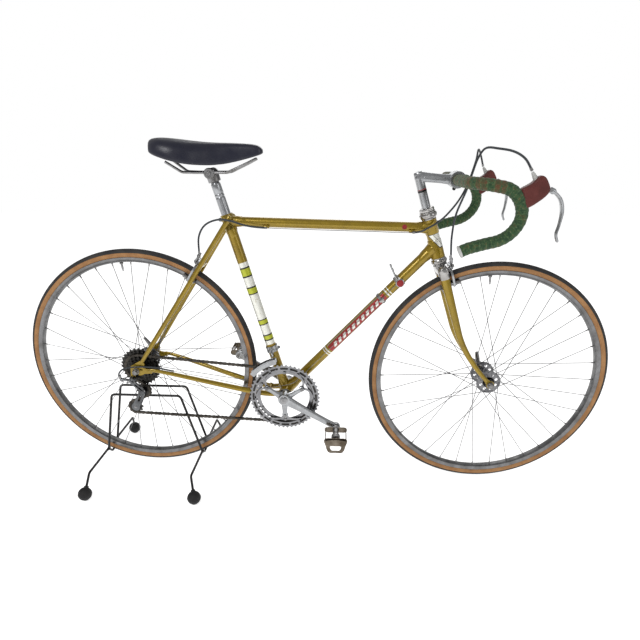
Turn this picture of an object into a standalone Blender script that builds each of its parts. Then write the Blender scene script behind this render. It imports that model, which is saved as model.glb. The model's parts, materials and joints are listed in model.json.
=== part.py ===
"""A ten-speed road bicycle whose rear tyre stands in a bent-wire floor stand.

+X is forwards, +Y is the rider's left and +Z is up. The origin is on the floor, midway
between the two axles. Lengths are in metres. Side -1 is the right, where the chain is.
"""

import math

import bmesh
import bpy
from mathutils import Matrix, Vector

GAP = 0.0003            # between two faces that rest on each other
PLAY = 0.0006           # round a shaft that turns
SIDES = (("right", -1), ("left", 1))
ACROSS = Vector((0, 1, 0))

# Wheels
WHEELBASE = 1.008
RIM_RADIUS = 0.3165
RIM_DEPTH = 0.0145
RIM_WIDTH = 0.0215
TYRE_HEIGHT = 0.0215    # from the rim's edge to the tread
TYRE_WIDTH = 0.0235
SPOKES = 36
SPOKE_RADIUS = 0.0010
FLANGE_RADIUS = 0.0335
FLANGE_THICK = 0.0032
FREEWHEEL_BORE = 0.0150
FRONT_DROPOUT_GAP = 0.100
FORK_TIP_THICK = 0.004
REAR_DROPOUT_GAP = 0.126
AXLE_RADIUS = 0.0048
NUT_THICK = 0.007
CAM_RADIUS = 0.0070     # of a quick release
RELEASE_TILT = {"front": math.radians(105), "rear": math.radians(118)}

# Stand
REAR_LIFT = 0.026       # how high the stand holds the rear tyre
WIRE_RADIUS = 0.0036
LOOP_HALF_GAP = 0.0325   # from the wheel's plane to the middle of a side loop
LOOP_HEIGHT = 0.269
LOOP_TOP_REAR = 0.104   # behind the rear axle
LOOP_TOP_FRONT = 0.107  # ahead of the rear axle
RAIL_REAR = 0.145
RAIL_FRONT = 0.158
RAIL_HEIGHT = 0.076
RAIL_HALF_LENGTH = 0.162
FOOT_HALF_GAP = 0.187
FOOT_SPLAY = 0.011
BALL_RADIUS = 0.0195
SOLE_RADIUS = 0.0085

# Frame
TYRE_TO_BB = 0.087      # from the rear tyre's front edge to the bottom bracket's axis
BB_BELOW_AXLE = 0.081
SEAT_ANGLE = math.radians(73.8)
HEAD_ANGLE = math.radians(71.5)
RAKE = 0.050
FORK_OVER_TYRE = 0.046  # from the tyre's radius to the foot of the head tube
CROWN_DROP = 0.034      # from the head tube's foot to the fork crown's axis
HEAD_TUBE_LENGTH = 0.103
SEAT_TUBE_LENGTH = 0.532
LUG_BELOW_TOP = 0.018   # from the seat tube's top down to the top tube's axis
TOP_TUBE_BELOW_HEAD = 0.0225
DOWN_TUBE_ABOVE_FOOT = 0.031
TUBE_WALL = 0.0009
LUG_WALL = 0.0018
LUG_LENGTH = 0.045
LUG_TAPER = 0.002
TOP_TUBE_RADIUS = 0.0127
DOWN_TUBE_RADIUS = 0.0143
SEAT_TUBE_RADIUS = 0.0143
HEAD_TUBE_RADIUS = 0.0162
STEERER_RADIUS = 0.0127
BB_RADIUS = 0.0202
BB_HALF_WIDTH = 0.034
SEAT_STAY_RADIUS = 0.0066
CHAIN_STAY_RADIUS = 0.0082
DROPOUT_THICK = 0.005
STAY_FOOT = 0.036       # from the rear axle up to the seat stay's end

# Seat
SEATPOST_RADIUS = 0.0125
SEATPOST_SHOWN = 0.104
SEATPOST_HIDDEN = 0.080
SADDLE_HALF_WIDTH = 0.074
RAIL_RADIUS = 0.0034

# Cockpit
STEM_REACH = 0.094
STEM_RISE = 0.1095      # from the head tube's top to the stem's centre line
STEM_DROP = 0.0075      # from there down to the bar's centre
QUILL_RADIUS = 0.0111
BAR_RADIUS = 0.0133
BAR_HALF_WIDTH = 0.190
BAR_REACH = 0.106
BAR_DROP = 0.144
LEVER_WIDTH = 0.012

# Drive
CRANK_LENGTH = 0.1715
CRANK_ANGLE = math.radians(28.2)    # the right crank's angle below straight ahead
LINK = 0.0127
RING_TEETH = (50, 42)
RING_Y = (-0.0500, -0.0435)
RING_THICK = 0.0020
RING_BOLTS = 3
RING_BOLT_ANGLE = math.radians(150)
TOOTH_ROOM = 0.0012     # from a sprocket's edge to the chain on it, whose rollers sit on the teeth
SPROCKET_TEETH = (28, 24, 20, 17, 14)
SPROCKET_STEP = 0.0055
SPROCKET_THICK = 0.0020
DRIVEN = 2              # the sprocket that the chain is on
PULLEY_TEETH = 10
CHAIN_HALF_WIDTH = 0.0033
CHAIN_HALF_HEIGHT = 0.0024
SPINDLE_RADIUS = 0.0085
SPINDLE_HALF_LENGTH = 0.060
CRANK_Y = {"right": (-0.0640, -0.0740), "left": (0.0580, 0.0700)}   # at the boss and the eye
BOLT_CIRCLE = 0.058
FRONT_CLAMP_HEIGHT = 0.140  # from the bottom bracket, along the seat tube
SHIFTER_HEIGHT = 0.462  # from the bottom bracket, along the down tube
PEDAL_LENGTH = 0.066

# Brakes
BRAKE_REACH = (0.043, 0.0485)   # front and rear, from the pivot to the shoes
PAD_GAP = 0.0028

# Cables
BRAKE_CABLE_RADIUS = 0.0025
SHIFT_CABLE_RADIUS = 0.0014

FRAME_PIECES = ("head_tube", "top_tube", "down_tube", "seat_tube", "bottom_bracket_shell",
                "seat_stays", "chain_stay_right", "chain_stay_left", "headset_lower",
                "headset_upper", "rear_axle", "shifter_clamp", "front_derailleur_clamp",
                "front_derailleur_cage", "rear_derailleur_body", "chain", "rear_brake_cable",
                "shift_cable_right", "shift_cable_left")

LOOKS = {
    "olive_gold_paint": ((0.36, 0.24, 0.02), 0.55, 0.35),
    "black_wire": ((0.01, 0.01, 0.01), 0.1, 0.45),
    "black_rubber": ((0.02, 0.02, 0.02), 0.0, 0.7),
    "tan_tyre": ((0.45, 0.22, 0.07), 0.0, 0.75),
    "dull_steel": ((0.45, 0.45, 0.46), 0.9, 0.4),
    "chrome": ((0.75, 0.75, 0.76), 1.0, 0.12),
    "alloy": ((0.62, 0.63, 0.65), 0.95, 0.32),
    "pedal_bronze": ((0.30, 0.24, 0.18), 0.9, 0.45),
    "dark_steel": ((0.07, 0.065, 0.06), 0.8, 0.45),
    "black_saddle": ((0.015, 0.015, 0.03), 0.0, 0.45),
    "green_tape": ((0.10, 0.17, 0.08), 0.0, 0.85),
    "maroon_hood": ((0.14, 0.02, 0.03), 0.0, 0.6),
    "dark_housing": ((0.03, 0.035, 0.04), 0.0, 0.5),
}


def side_vector(angle):
    """A unit vector in the side view, angle up from straight ahead."""
    return Vector((math.cos(angle), 0, math.sin(angle)))


TYRE_RADIUS = RIM_RADIUS + TYRE_HEIGHT
REAR = Vector((-WHEELBASE / 2, 0, TYRE_RADIUS + REAR_LIFT))
FRONT = Vector((WHEELBASE / 2, 0, TYRE_RADIUS))
BB = REAR + Vector((TYRE_RADIUS + TYRE_TO_BB, 0, -BB_BELOW_AXLE))
SEAT_UP = side_vector(math.pi - SEAT_ANGLE)
STEER_UP = side_vector(math.pi - HEAD_ANGLE)
STEER_AHEAD = side_vector(math.pi / 2 - HEAD_ANGLE)
HEAD_FOOT = FRONT - STEER_AHEAD * RAKE + STEER_UP * (TYRE_RADIUS + FORK_OVER_TYRE)
HEAD_TOP = HEAD_FOOT + STEER_UP * HEAD_TUBE_LENGTH
SEAT_TOP = BB + SEAT_UP * SEAT_TUBE_LENGTH
SEAT_LUG = SEAT_TOP - SEAT_UP * LUG_BELOW_TOP
STAY_UP = (SEAT_LUG - REAR).normalized()
STAY_BACK = Vector((-STAY_UP.z, 0, STAY_UP.x))
BAR_CENTRE = HEAD_TOP + STEER_UP * STEM_RISE + Vector((STEM_REACH, 0, -STEM_DROP))
SPROCKET_Y = [RING_Y[1] - (i - DRIVEN) * SPROCKET_STEP for i in range(len(SPROCKET_TEETH))]
TOP_TUBE_END = HEAD_TOP - STEER_UP * TOP_TUBE_BELOW_HEAD
DOWN_TUBE_END = HEAD_FOOT + STEER_UP * DOWN_TUBE_ABOVE_FOOT
DOWN_TUBE_ALONG = (DOWN_TUBE_END - BB).normalized()
CROWN = HEAD_FOOT - STEER_UP * CROWN_DROP
SHIFTERS = BB + DOWN_TUBE_ALONG * SHIFTER_HEIGHT
PULLEYS = (REAR + Vector((0.003, 0, -0.073)), REAR + Vector((-0.027, 0, -0.127)))
HANGER = REAR + Vector((-0.0115, 0, -0.0235))
CRANK_OUT = Vector((math.cos(CRANK_ANGLE), 0, -math.sin(CRANK_ANGLE)))
DROPOUT_Y = REAR_DROPOUT_GAP / 2 + GAP


def pitch_radius(teeth):
    return LINK / (2 * math.sin(math.pi / teeth))


def clear_scene():
    for obj in list(bpy.data.objects):
        bpy.data.objects.remove(obj, do_unlink=True)


def make_material(name):
    colour, metallic, roughness = LOOKS[name]
    material = bpy.data.materials.new(name)
    material.use_nodes = True
    shader = material.node_tree.nodes["Principled BSDF"]
    shader.inputs["Base Color"].default_value = (*colour, 1)
    shader.inputs["Metallic"].default_value = metallic
    shader.inputs["Roughness"].default_value = roughness
    return material


def add(name, bm, look=None):
    """Links a closed bmesh as an object. Without a look it is a hidden helper for a Boolean."""
    bmesh.ops.recalc_face_normals(bm, faces=bm.faces)
    mesh = bpy.data.meshes.new(name)
    bm.to_mesh(mesh)
    bm.free()
    mesh.shade_smooth()
    mesh.set_sharp_from_angle(angle=math.radians(40))
    obj = bpy.data.objects.new(name, mesh)
    bpy.context.scene.collection.objects.link(obj)
    if look:
        mesh.materials.append(bpy.data.materials.get(look) or make_material(look))
    else:
        obj.hide_render = True
        obj.display_type = "WIRE"
    return obj


def boolean(obj, operation, *helpers):
    for helper in helpers:
        modifier = obj.modifiers.new(helper.name, "BOOLEAN")
        modifier.operation = operation
        modifier.object = helper
    return obj


def join(obj, *helpers):
    return boolean(obj, "UNION", *helpers)


def cut(obj, *helpers):
    return boolean(obj, "DIFFERENCE", *helpers)


def ring_loops(bm, loops, closed):
    """Bridges loops of equal length. Open ends are capped, unless the last meets the first."""
    pairs = list(zip(loops, loops[1:]))
    if closed:
        pairs.append((loops[-1], loops[0]))
    for first, second in pairs:
        count = len(first)
        for i in range(count):
            j = (i + 1) % count
            bm.faces.new((first[i], first[j], second[j], second[i]))
    if not closed:
        bm.faces.new(loops[0])
        bm.faces.new(loops[-1])


def swept(name, points, radius, look=None, sides=10, flat=1.0, across=ACROSS, closed=False):
    """A bar along points. flat squeezes it at right angles to the direction across."""
    points = [Vector(p) for p in points]
    radii = radius if isinstance(radius, (list, tuple)) else [radius] * len(points)
    bm = bmesh.new()
    loops = []
    last = None
    for i, point in enumerate(points):
        before = points[i - 1] if i or closed else point
        after = points[(i + 1) % len(points)] if i + 1 < len(points) or closed else point
        along = (after - before).normalized()
        wide = across if last is None else last
        wide = (wide - along * wide.dot(along)).normalized()
        last = wide
        thin = along.cross(wide) * flat
        turn = [2 * math.pi * (k + 0.5) / sides for k in range(sides)]
        loops.append([bm.verts.new(point + (wide * math.cos(a) + thin * math.sin(a)) * radii[i])
                      for a in turn])
    ring_loops(bm, loops, closed)
    return add(name, bm, look)


def turned(name, profile, centre, axis, look=None, sides=24):
    """A profile of (radius, distance along the axis) turned round it.

    A profile that starts and ends at radius 0 is solid, and any other is a closed ring."""
    axis = Vector(axis).normalized()
    wide = axis.orthogonal().normalized()
    if abs(axis.y) < 0.5:
        wide = ACROSS
    thin = axis.cross(wide)
    bm = bmesh.new()
    loops = []
    for radius, along in profile:
        base = Vector(centre) + axis * along
        if radius == 0:
            loops.append([bm.verts.new(base)])
            continue
        loops.append([bm.verts.new(base + (wide * math.cos(a) + thin * math.sin(a)) * radius)
                      for a in (2 * math.pi * k / sides for k in range(sides))])
    pairs = list(zip(loops, loops[1:]))
    if profile[0][0] > 0:
        pairs.append((loops[-1], loops[0]))
    for first, second in pairs:
        for i in range(sides):
            j = (i + 1) % sides
            corners = [first[i % len(first)], first[j % len(first)],
                       second[j % len(second)], second[i % len(second)]]
            bm.faces.new(list(dict.fromkeys(corners)))
    return add(name, bm, look)


def disc(name, radius, y0, y1, centre, look=None, sides=24):
    return turned(name, [(0, y0), (radius, y0), (radius, y1), (0, y1)], centre, ACROSS, look, sides)


def washer(name, outer, inner, y0, y1, centre, look=None, sides=24):
    profile = [(outer, y0), (outer, y1), (inner, y1), (inner, y0)]
    return turned(name, profile, centre, ACROSS, look, sides)


def plate(name, outline, centre, across, up, near, far, look=None):
    """An outline of (across, up) pairs, made thick along across x up from near to far."""
    across = Vector(across)
    up = Vector(up)
    out = across.cross(up)
    bm = bmesh.new()
    loops = [[bm.verts.new(Vector(centre) + across * a + up * b + out * depth)
              for a, b in outline] for depth in (near, far)]
    ring_loops(bm, loops, False)
    return add(name, bm, look)


def side_plate(name, outline, centre, y0, y1, look=None):
    """A plate whose outline is (ahead, up) and which spans y0 to y1."""
    return plate(name, outline, centre, (1, 0, 0), (0, 0, 1), -y1, -y0, look)


def arc(radius, start, end, steps, centre=(0, 0)):
    """Points of (across, up) on a circle, from one angle in degrees to another."""
    angles = [math.radians(start + (end - start) * i / steps) for i in range(steps + 1)]
    return [(centre[0] + radius * math.cos(a), centre[1] + radius * math.sin(a)) for a in angles]


def rounded(points, radius, steps=4):
    """The polyline with an arc of about this radius at each inner corner."""
    points = [Vector(p) for p in points]
    out = [points[0]]
    for before, corner, after in zip(points, points[1:], points[2:]):
        back = (before - corner).normalized()
        on = (after - corner).normalized()
        half = back.angle(on) / 2
        reach = min(radius / math.tan(half), (before - corner).length * 0.48,
                    (after - corner).length * 0.48)
        start, end = corner + back * reach, corner + on * reach
        for i in range(steps + 1):
            t = i / steps
            out.append(start * (1 - t) ** 2 + corner * 2 * t * (1 - t) + end * t ** 2)
    return out + [points[-1]]


def smooth_path(points, spacing):
    """Points at this spacing on a smooth curve through the given ones."""
    points = [Vector(p) for p in points]
    ends = [points[0] * 2 - points[1], *points, points[-1] * 2 - points[-2]]
    fine = []
    for a, b, c, d in zip(ends, ends[1:], ends[2:], ends[3:]):
        for i in range(12):
            t = i / 12
            fine.append((b * 2 + (c - a) * t + (a * 2 - b * 5 + c * 4 - d) * t ** 2
                         + (b * 3 - a - c * 3 + d) * t ** 3) * 0.5)
    fine.append(points[-1])
    length = sum((q - p).length for p, q in zip(fine, fine[1:]))
    count = max(2, round(length / spacing))
    out, walked, target = [fine[0]], 0.0, length / count
    for p, q in zip(fine, fine[1:]):
        step = (q - p).length
        while walked + step >= target - 1e-9 and len(out) < count:
            out.append(p.lerp(q, (target - walked) / step))
            target += length / count
        walked += step
    return out + [fine[-1]]


def mirrored(points, side):
    return [Vector((p[0], p[1] * side, p[2])) for p in points]


def cradle_height(ahead):
    """Height of a wire under the rear tyre, this far ahead of the axle."""
    reach = TYRE_RADIUS + WIRE_RADIUS + GAP
    return REAR.z - math.sqrt(reach ** 2 - ahead ** 2)


def stand_rail(name, ahead, look=None):
    """A cross wire from foot to foot, which dips under the tyre."""
    splay = math.copysign(FOOT_SPLAY, ahead)
    half = [(REAR.x + ahead + splay, FOOT_HALF_GAP, BALL_RADIUS),
            (REAR.x + ahead, RAIL_HALF_LENGTH, RAIL_HEIGHT),
            (REAR.x + ahead, LOOP_HALF_GAP + 0.002, RAIL_HEIGHT),
            (REAR.x + ahead, TYRE_WIDTH / 2, cradle_height(ahead))]
    points = mirrored(half, -1) + mirrored(half[::-1], 1)
    return swept(name, rounded(points, 0.010, 2), WIRE_RADIUS, look, 6, across=Vector((1, 0, 0)))


def stand_loop(name, side):
    """The upside-down U beside the wheel, whose ends are welded to the cross wires."""
    y = side * LOOP_HALF_GAP
    points = [(REAR.x - RAIL_REAR, y, RAIL_HEIGHT - 0.001),
              (REAR.x - LOOP_TOP_REAR, y, LOOP_HEIGHT),
              (REAR.x + LOOP_TOP_FRONT, y, LOOP_HEIGHT),
              (REAR.x + RAIL_FRONT, y, RAIL_HEIGHT - 0.001)]
    return swept(name, rounded(points, 0.014, 3), WIRE_RADIUS, None, 6)


def build_stand():
    frame = stand_rail("stand_frame", -RAIL_REAR, "black_wire")
    join(frame, stand_loop("stand_loop_right", -1), stand_loop("stand_loop_left", 1),
         stand_rail("stand_rail_front", RAIL_FRONT))
    sole = math.acos(1 - SOLE_RADIUS ** 2 / (2 * BALL_RADIUS ** 2))
    steps = [sole + (math.pi - sole) * i / 6 for i in range(1, 6)]
    profile = [(0, 0), (SOLE_RADIUS, 0)]
    profile += [(BALL_RADIUS * math.sin(a), BALL_RADIUS * (1 - math.cos(a))) for a in steps]
    profile += [(0, 2 * BALL_RADIUS)]
    for end, ahead in (("rear", -RAIL_REAR), ("front", RAIL_FRONT)):
        x = REAR.x + ahead + math.copysign(FOOT_SPLAY, ahead)
        socket = stand_socket(end, ahead)
        for label, side in SIDES:
            foot = turned(f"stand_foot_{end}_{label}", profile, (x, side * FOOT_HALF_GAP, 0),
                          (0, 0, 1), "black_rubber", 12)
            cut(foot, socket[side])


def stand_socket(end, ahead):
    """The hole in a foot that takes the wire's end."""
    sockets = {}
    splay = math.copysign(FOOT_SPLAY, ahead)
    for label, side in SIDES:
        low = Vector((REAR.x + ahead + splay, side * FOOT_HALF_GAP, BALL_RADIUS))
        high = Vector((REAR.x + ahead, side * RAIL_HALF_LENGTH, RAIL_HEIGHT))
        on = (high - low).normalized()
        sockets[side] = swept(f"socket_{end}_{label}", [low - on * GAP, low + on * 0.045],
                              WIRE_RADIUS + 0.0008, None, 6)
    return sockets


def lugged_tube(name, start, end, radius, lug_start, lug_end, bore):
    """A tube with a lug's thicker sleeve at its end, and one at its start if that has a length."""
    length = (end - start).length
    thick = radius + LUG_WALL
    profile = [(bore, 0)]
    if lug_start:
        profile += [(thick, 0), (thick, lug_start), (radius, lug_start + LUG_TAPER)]
    else:
        profile += [(radius, 0)]
    profile += [(radius, length - lug_end - LUG_TAPER), (thick, length - lug_end),
                (thick, length), (bore, length)]
    return turned(name, profile, start, end - start, "olive_gold_paint", 16)


def build_frame():
    lug_room = SEAT_TUBE_RADIUS + LUG_WALL + GAP
    seat_cut = turned("seat_tube_room", [(0, -0.06), (lug_room, -0.06), (lug_room, 0.06), (0, 0.06)],
                      SEAT_LUG, SEAT_UP, None, 16)
    head_room = HEAD_TUBE_RADIUS + LUG_WALL + GAP
    head_cut = turned("head_tube_room", [(0, -0.02), (head_room, -0.02),
                                         (head_room, HEAD_TUBE_LENGTH + 0.02),
                                         (0, HEAD_TUBE_LENGTH + 0.02)], HEAD_FOOT, STEER_UP, None, 16)
    bb_cut = disc("bottom_bracket_room", BB_RADIUS + GAP, -0.05, 0.05, BB, None, 24)

    bore = STEERER_RADIUS + 0.0012
    thick = HEAD_TUBE_RADIUS + LUG_WALL
    lug = TOP_TUBE_BELOW_HEAD + TOP_TUBE_RADIUS + 0.004
    foot_lug = DOWN_TUBE_ABOVE_FOOT + DOWN_TUBE_RADIUS + 0.004
    turned("head_tube", [(bore, 0), (thick, 0), (thick, foot_lug),
                         (HEAD_TUBE_RADIUS, foot_lug + LUG_TAPER),
                         (HEAD_TUBE_RADIUS, HEAD_TUBE_LENGTH - lug - LUG_TAPER),
                         (thick, HEAD_TUBE_LENGTH - lug), (thick, HEAD_TUBE_LENGTH),
                         (bore, HEAD_TUBE_LENGTH)], HEAD_FOOT, STEER_UP, "olive_gold_paint", 16)

    cut(lugged_tube("top_tube", SEAT_LUG, TOP_TUBE_END, TOP_TUBE_RADIUS, LUG_LENGTH, LUG_LENGTH,
                    TOP_TUBE_RADIUS - TUBE_WALL), seat_cut, head_cut)
    cut(lugged_tube("down_tube", BB, DOWN_TUBE_END, DOWN_TUBE_RADIUS, LUG_LENGTH, LUG_LENGTH,
                    DOWN_TUBE_RADIUS - TUBE_WALL), bb_cut, head_cut)
    cut(lugged_tube("seat_tube", BB, SEAT_TOP, SEAT_TUBE_RADIUS, 0, LUG_LENGTH,
                    SEATPOST_RADIUS + GAP), bb_cut)
    low_room = SEAT_TUBE_RADIUS + GAP
    seat_low = turned("seat_tube_room_low", [(0, 0), (low_room, 0), (low_room, 0.12), (0, 0.12)],
                      BB, SEAT_UP, None, 16)
    cut(bpy.data.objects["down_tube"], seat_low)

    inner = BB_RADIUS - 0.0028
    lip = SPINDLE_RADIUS + PLAY
    width = BB_HALF_WIDTH
    turned("bottom_bracket_shell", [(lip, -width), (BB_RADIUS, -width), (BB_RADIUS, width),
                                    (lip, width), (lip, width - 0.006), (inner, width - 0.010),
                                    (inner, 0.010 - width), (lip, 0.006 - width)],
           BB, ACROSS, "olive_gold_paint", 16)
    build_seat_stays()
    for label, side in SIDES:
        cut(build_chain_stay(label, side), bb_cut, seat_low)
    down_room = swept("down_tube_room", [BB, BB + DOWN_TUBE_ALONG * 0.1],
                      DOWN_TUBE_RADIUS + LUG_WALL + GAP, None, 16)
    for label, _ in SIDES:
        cut(bpy.data.objects[f"chain_stay_{label}"], down_room)


def seat_stay_path(side):
    top_y = SEAT_TUBE_RADIUS + LUG_WALL + SEAT_STAY_RADIUS + GAP
    foot = REAR + STAY_UP * STAY_FOOT + ACROSS * (DROPOUT_Y + DROPOUT_THICK / 2)
    top = SEAT_LUG + STAY_UP * 0.010 + ACROSS * top_y
    return mirrored([foot, foot + STAY_UP * 0.03, foot.lerp(top, 0.35), top], side)


def bridge_point():
    """Where the seat stays' bridge clears the tyre."""
    return REAR + STAY_UP * (TYRE_RADIUS + 0.0195)


def build_seat_stays():
    radii = [SEAT_STAY_RADIUS * 0.85, SEAT_STAY_RADIUS, SEAT_STAY_RADIUS, SEAT_STAY_RADIUS]
    stays = swept("seat_stays", seat_stay_path(-1), radii, "olive_gold_paint", 10)
    other = swept("seat_stay_left_bar", seat_stay_path(1), radii, None, 10)
    path = seat_stay_path(1)
    share = (bridge_point() - path[2]).dot(STAY_UP) / (path[3] - path[2]).dot(STAY_UP)
    half = path[2].lerp(path[3], share).y
    bridge = swept("brake_bridge", [bridge_point() - ACROSS * half, bridge_point() + ACROSS * half],
                   0.0052, None, 10, across=Vector((0, 0, 1)))
    join(stays, bridge, other)


def dropout_outline(hanger):
    """The rear dropout seen from its right, around the axle, with a slot that opens down."""
    slot = AXLE_RADIUS + 0.0008
    top = STAY_UP * (STAY_FOOT - 0.0006)
    corners = [top - STAY_BACK * 0.0060, top + STAY_BACK * 0.0060]
    tab = [(c.x, c.z) for c in corners]
    outline = [(0.046, 0.0062), (0.022, 0.012), tab[0], tab[1], (-0.013, 0.014), (-0.0155, 0.000)]
    if hanger:
        outline += [(-0.0200, -0.018), (-0.0190, -0.030), (-0.0060, -0.030)]
    else:
        outline += [(-0.0150, -0.013)]
    outline += [(-slot, -0.013)] + arc(slot, 180, 0, 6) + [(slot, -0.013), (0.016, -0.012)]
    return outline + [(0.022, -0.0062), (0.046, -0.0062)]


def build_chain_stay(label, side):
    y = DROPOUT_Y + DROPOUT_THICK / 2
    axle = REAR
    points = mirrored([axle + Vector((0.034, y, -0.0002)), axle + Vector((0.075, y - 0.003, -0.003)),
                       BB + Vector((-0.085, 0.0292, 0.004)), BB + Vector((-0.006, 0.0235, 0))], side)
    radii = [0.0058, 0.0066, CHAIN_STAY_RADIUS - 0.0008, CHAIN_STAY_RADIUS]
    stay = swept(f"chain_stay_{label}", points, radii, "olive_gold_paint", 10)
    near, far = sorted((side * DROPOUT_Y, side * (DROPOUT_Y + DROPOUT_THICK)))
    return join(stay, side_plate(f"dropout_{label}", dropout_outline(side < 0), REAR, near, far))


def build_headset():
    bore = STEERER_RADIUS + PLAY
    turned("headset_lower", [(bore, -0.0185), (0.0175, -0.0185), (0.0215, -0.013), (0.0215, -0.008),
                             (0.0185, -0.004), (0.0185, -GAP), (bore, -GAP)],
           HEAD_FOOT, STEER_UP, "chrome", 16)
    turned("headset_upper", [(bore, GAP), (0.0190, GAP), (0.0190, 0.006), (0.0225, 0.010),
                             (0.0225, 0.015), (0.0195, 0.020), (0.0185, 0.021), (0.0185, 0.030),
                             (bore, 0.030)], HEAD_TOP, STEER_UP, "chrome", 16)


def build_fork():
    bore = QUILL_RADIUS + GAP
    top = HEAD_TUBE_LENGTH + 0.0305
    steerer = turned("fork_crown", [(bore, -CROWN_DROP), (STEERER_RADIUS, -CROWN_DROP),
                                    (STEERER_RADIUS, top), (bore, top)],
                     HEAD_FOOT, STEER_UP, "chrome", 16)
    half = [CROWN + ACROSS * y for y in (0.043, 0.034, 0.016, 0)]
    path = half + mirrored(half[-2::-1], -1)
    radii = [0.0115, 0.0148, 0.0150, 0.0150, 0.0150, 0.0148, 0.0115]
    ahead = Vector((1, 0, 0))
    join(steerer, swept("fork_crown_bar", path, radii, None, 12, 1.0, ahead))
    room = swept("fork_crown_room", path, [r + GAP for r in radii], None, 12, 1.0, ahead)
    for label, side in SIDES:
        build_fork_blade(label, side, room)


def build_fork_blade(label, side, crown_room):
    """A tapering blade that curves forwards to a flat tip around the axle."""
    ahead = Vector((1, 0, 0))
    length = TYRE_RADIUS + FORK_OVER_TYRE
    tip_y = FRONT_DROPOUT_GAP / 2 + GAP
    top_y = 0.0315
    start, bend = CROWN_DROP + 0.004, 0.55 * length
    stops = [start, 0.35 * length, bend]
    stops += [bend + (length - bend) * t for t in (0.2, 0.4, 0.6, 0.78, 0.9)]
    points, radii = [], []
    for s in stops:
        curve = max(0.0, (s - bend) / (length - bend)) ** 1.75
        share = (s - start) / (length - start)
        y = top_y + (tip_y + 0.002 - top_y) * share
        points.append(HEAD_FOOT - STEER_UP * s + STEER_AHEAD * RAKE * curve + ACROSS * side * y)
        radii.append(0.0128 - 0.0072 * share)
    blade = swept(f"fork_blade_{label}", points, radii, "olive_gold_paint", 10, 0.86, ahead)
    cut(blade, crown_room)
    near, far = sorted((side * tip_y, side * (tip_y + FORK_TIP_THICK)))
    eye = washer(f"fork_tip_{label}", 0.0115, AXLE_RADIUS + PLAY, near, far, FRONT, None, 16)
    end = points[-1]
    reach = end - FRONT
    flat_reach = Vector((reach.x, 0, reach.z)).normalized()
    low = FRONT + ACROSS * side * (tip_y + FORK_TIP_THICK / 2) + flat_reach * 0.0085
    neck = swept(f"fork_neck_{label}", [end + reach.normalized() * 0.004, low],
                 [0.0046, 0.0040], None, 6, 0.45, ahead)
    join(blade, neck, eye)


def wheel_section():
    """Half sections, as (radius, y) pairs, of the rim and of the tyre."""
    half = RIM_WIDTH / 2
    inner = RIM_RADIUS - RIM_DEPTH
    rim = [(RIM_RADIUS, -half), (RIM_RADIUS, half), (inner + 0.003, half), (inner, 0),
           (inner + 0.003, -half)]
    seat = RIM_RADIUS + GAP
    middle = TYRE_RADIUS - TYRE_WIDTH / 2
    tyre = [(seat, -half * 0.8), (middle, -TYRE_WIDTH / 2)]
    tyre += [(middle + TYRE_WIDTH / 2 * math.sin(a), -TYRE_WIDTH / 2 * math.cos(a))
             for a in (math.radians(d) for d in (42, 90, 138))]
    tyre += [(middle, TYRE_WIDTH / 2), (seat, half * 0.8)]
    return rim, tyre


def build_wheel(end, axle, flanges, core, half_width):
    """core is the radius of the hub's right end, which on the rear wheel carries the freewheel."""
    rim, tyre = wheel_section()
    turned(f"{end}_rim", rim, axle, ACROSS, "alloy", 48)
    turned(f"{end}_tyre", tyre, axle, ACROSS, "tan_tyre", 48)
    bore = AXLE_RADIUS + PLAY
    thick = FLANGE_THICK / 2
    right, left = flanges
    profile = [(bore, -half_width), (core, -half_width)]
    profile += [(core, right - thick), (FLANGE_RADIUS, right - thick),
                (FLANGE_RADIUS, right + thick), (0.0125, right + thick + 0.004),
                (0.0125, left - thick - 0.004), (FLANGE_RADIUS, left - thick),
                (FLANGE_RADIUS, left + thick), (0.0135, left + thick)]
    profile += [(0.0135, half_width), (bore, half_width)]
    hub = turned(f"{end}_hub_and_spokes", profile, axle, ACROSS, "dull_steel", 16)
    reach = (RIM_RADIUS - RIM_DEPTH) * math.cos(math.pi / 48) - GAP * 2
    holes = FLANGE_RADIUS - 0.004
    bm = bmesh.new()
    for i in range(SPOKES):
        flange = flanges[i % 2]
        pair = i // 2
        lean = 1 if pair % 2 else -1
        rim_angle = 2 * math.pi * i / SPOKES
        hub_angle = rim_angle - lean * math.radians(62)
        layer = flange + lean * 0.0012
        start = Vector((holes * math.cos(hub_angle), layer, holes * math.sin(hub_angle)))
        end_point = Vector((reach * math.cos(rim_angle), 0.0, reach * math.sin(rim_angle)))
        along = (end_point - start).normalized()
        wide = (ACROSS - along * ACROSS.dot(along)).normalized()
        thin = along.cross(wide)
        loops = [[bm.verts.new(axle + p + (wide * math.cos(a) + thin * math.sin(a)) * SPOKE_RADIUS)
                  for a in (0, math.radians(120), math.radians(240))] for p in (start, end_point)]
        ring_loops(bm, loops, False)
    join(hub, add(f"{end}_spokes", bm))


def build_wheels():
    half = FRONT_DROPOUT_GAP / 2 - 0.0015
    flange = 0.0335
    build_wheel("front", FRONT, (-flange, flange), 0.0135, half)
    half = REAR_DROPOUT_GAP / 2 - 0.0015
    build_wheel("rear", REAR, (SPROCKET_Y[0] + 0.0085, 0.0345), FREEWHEEL_BORE, half)
    for end, axle, gap in (("front", FRONT, FRONT_DROPOUT_GAP / 2 + GAP + FORK_TIP_THICK),
                           ("rear", REAR, DROPOUT_Y + DROPOUT_THICK)):
        nut = gap + GAP
        profile = [(0, -nut - 0.0135), (0.0075, -nut - 0.0135), (0.0095, -nut - 0.010),
                   (0.0095, -nut), (AXLE_RADIUS, -nut), (AXLE_RADIUS, nut), (0.0095, nut),
                   (0.0095, nut + NUT_THICK), (0, nut + NUT_THICK)]
        turned(f"{end}_axle", profile, axle, ACROSS, "dull_steel", 16)
        build_quick_release(end)


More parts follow.
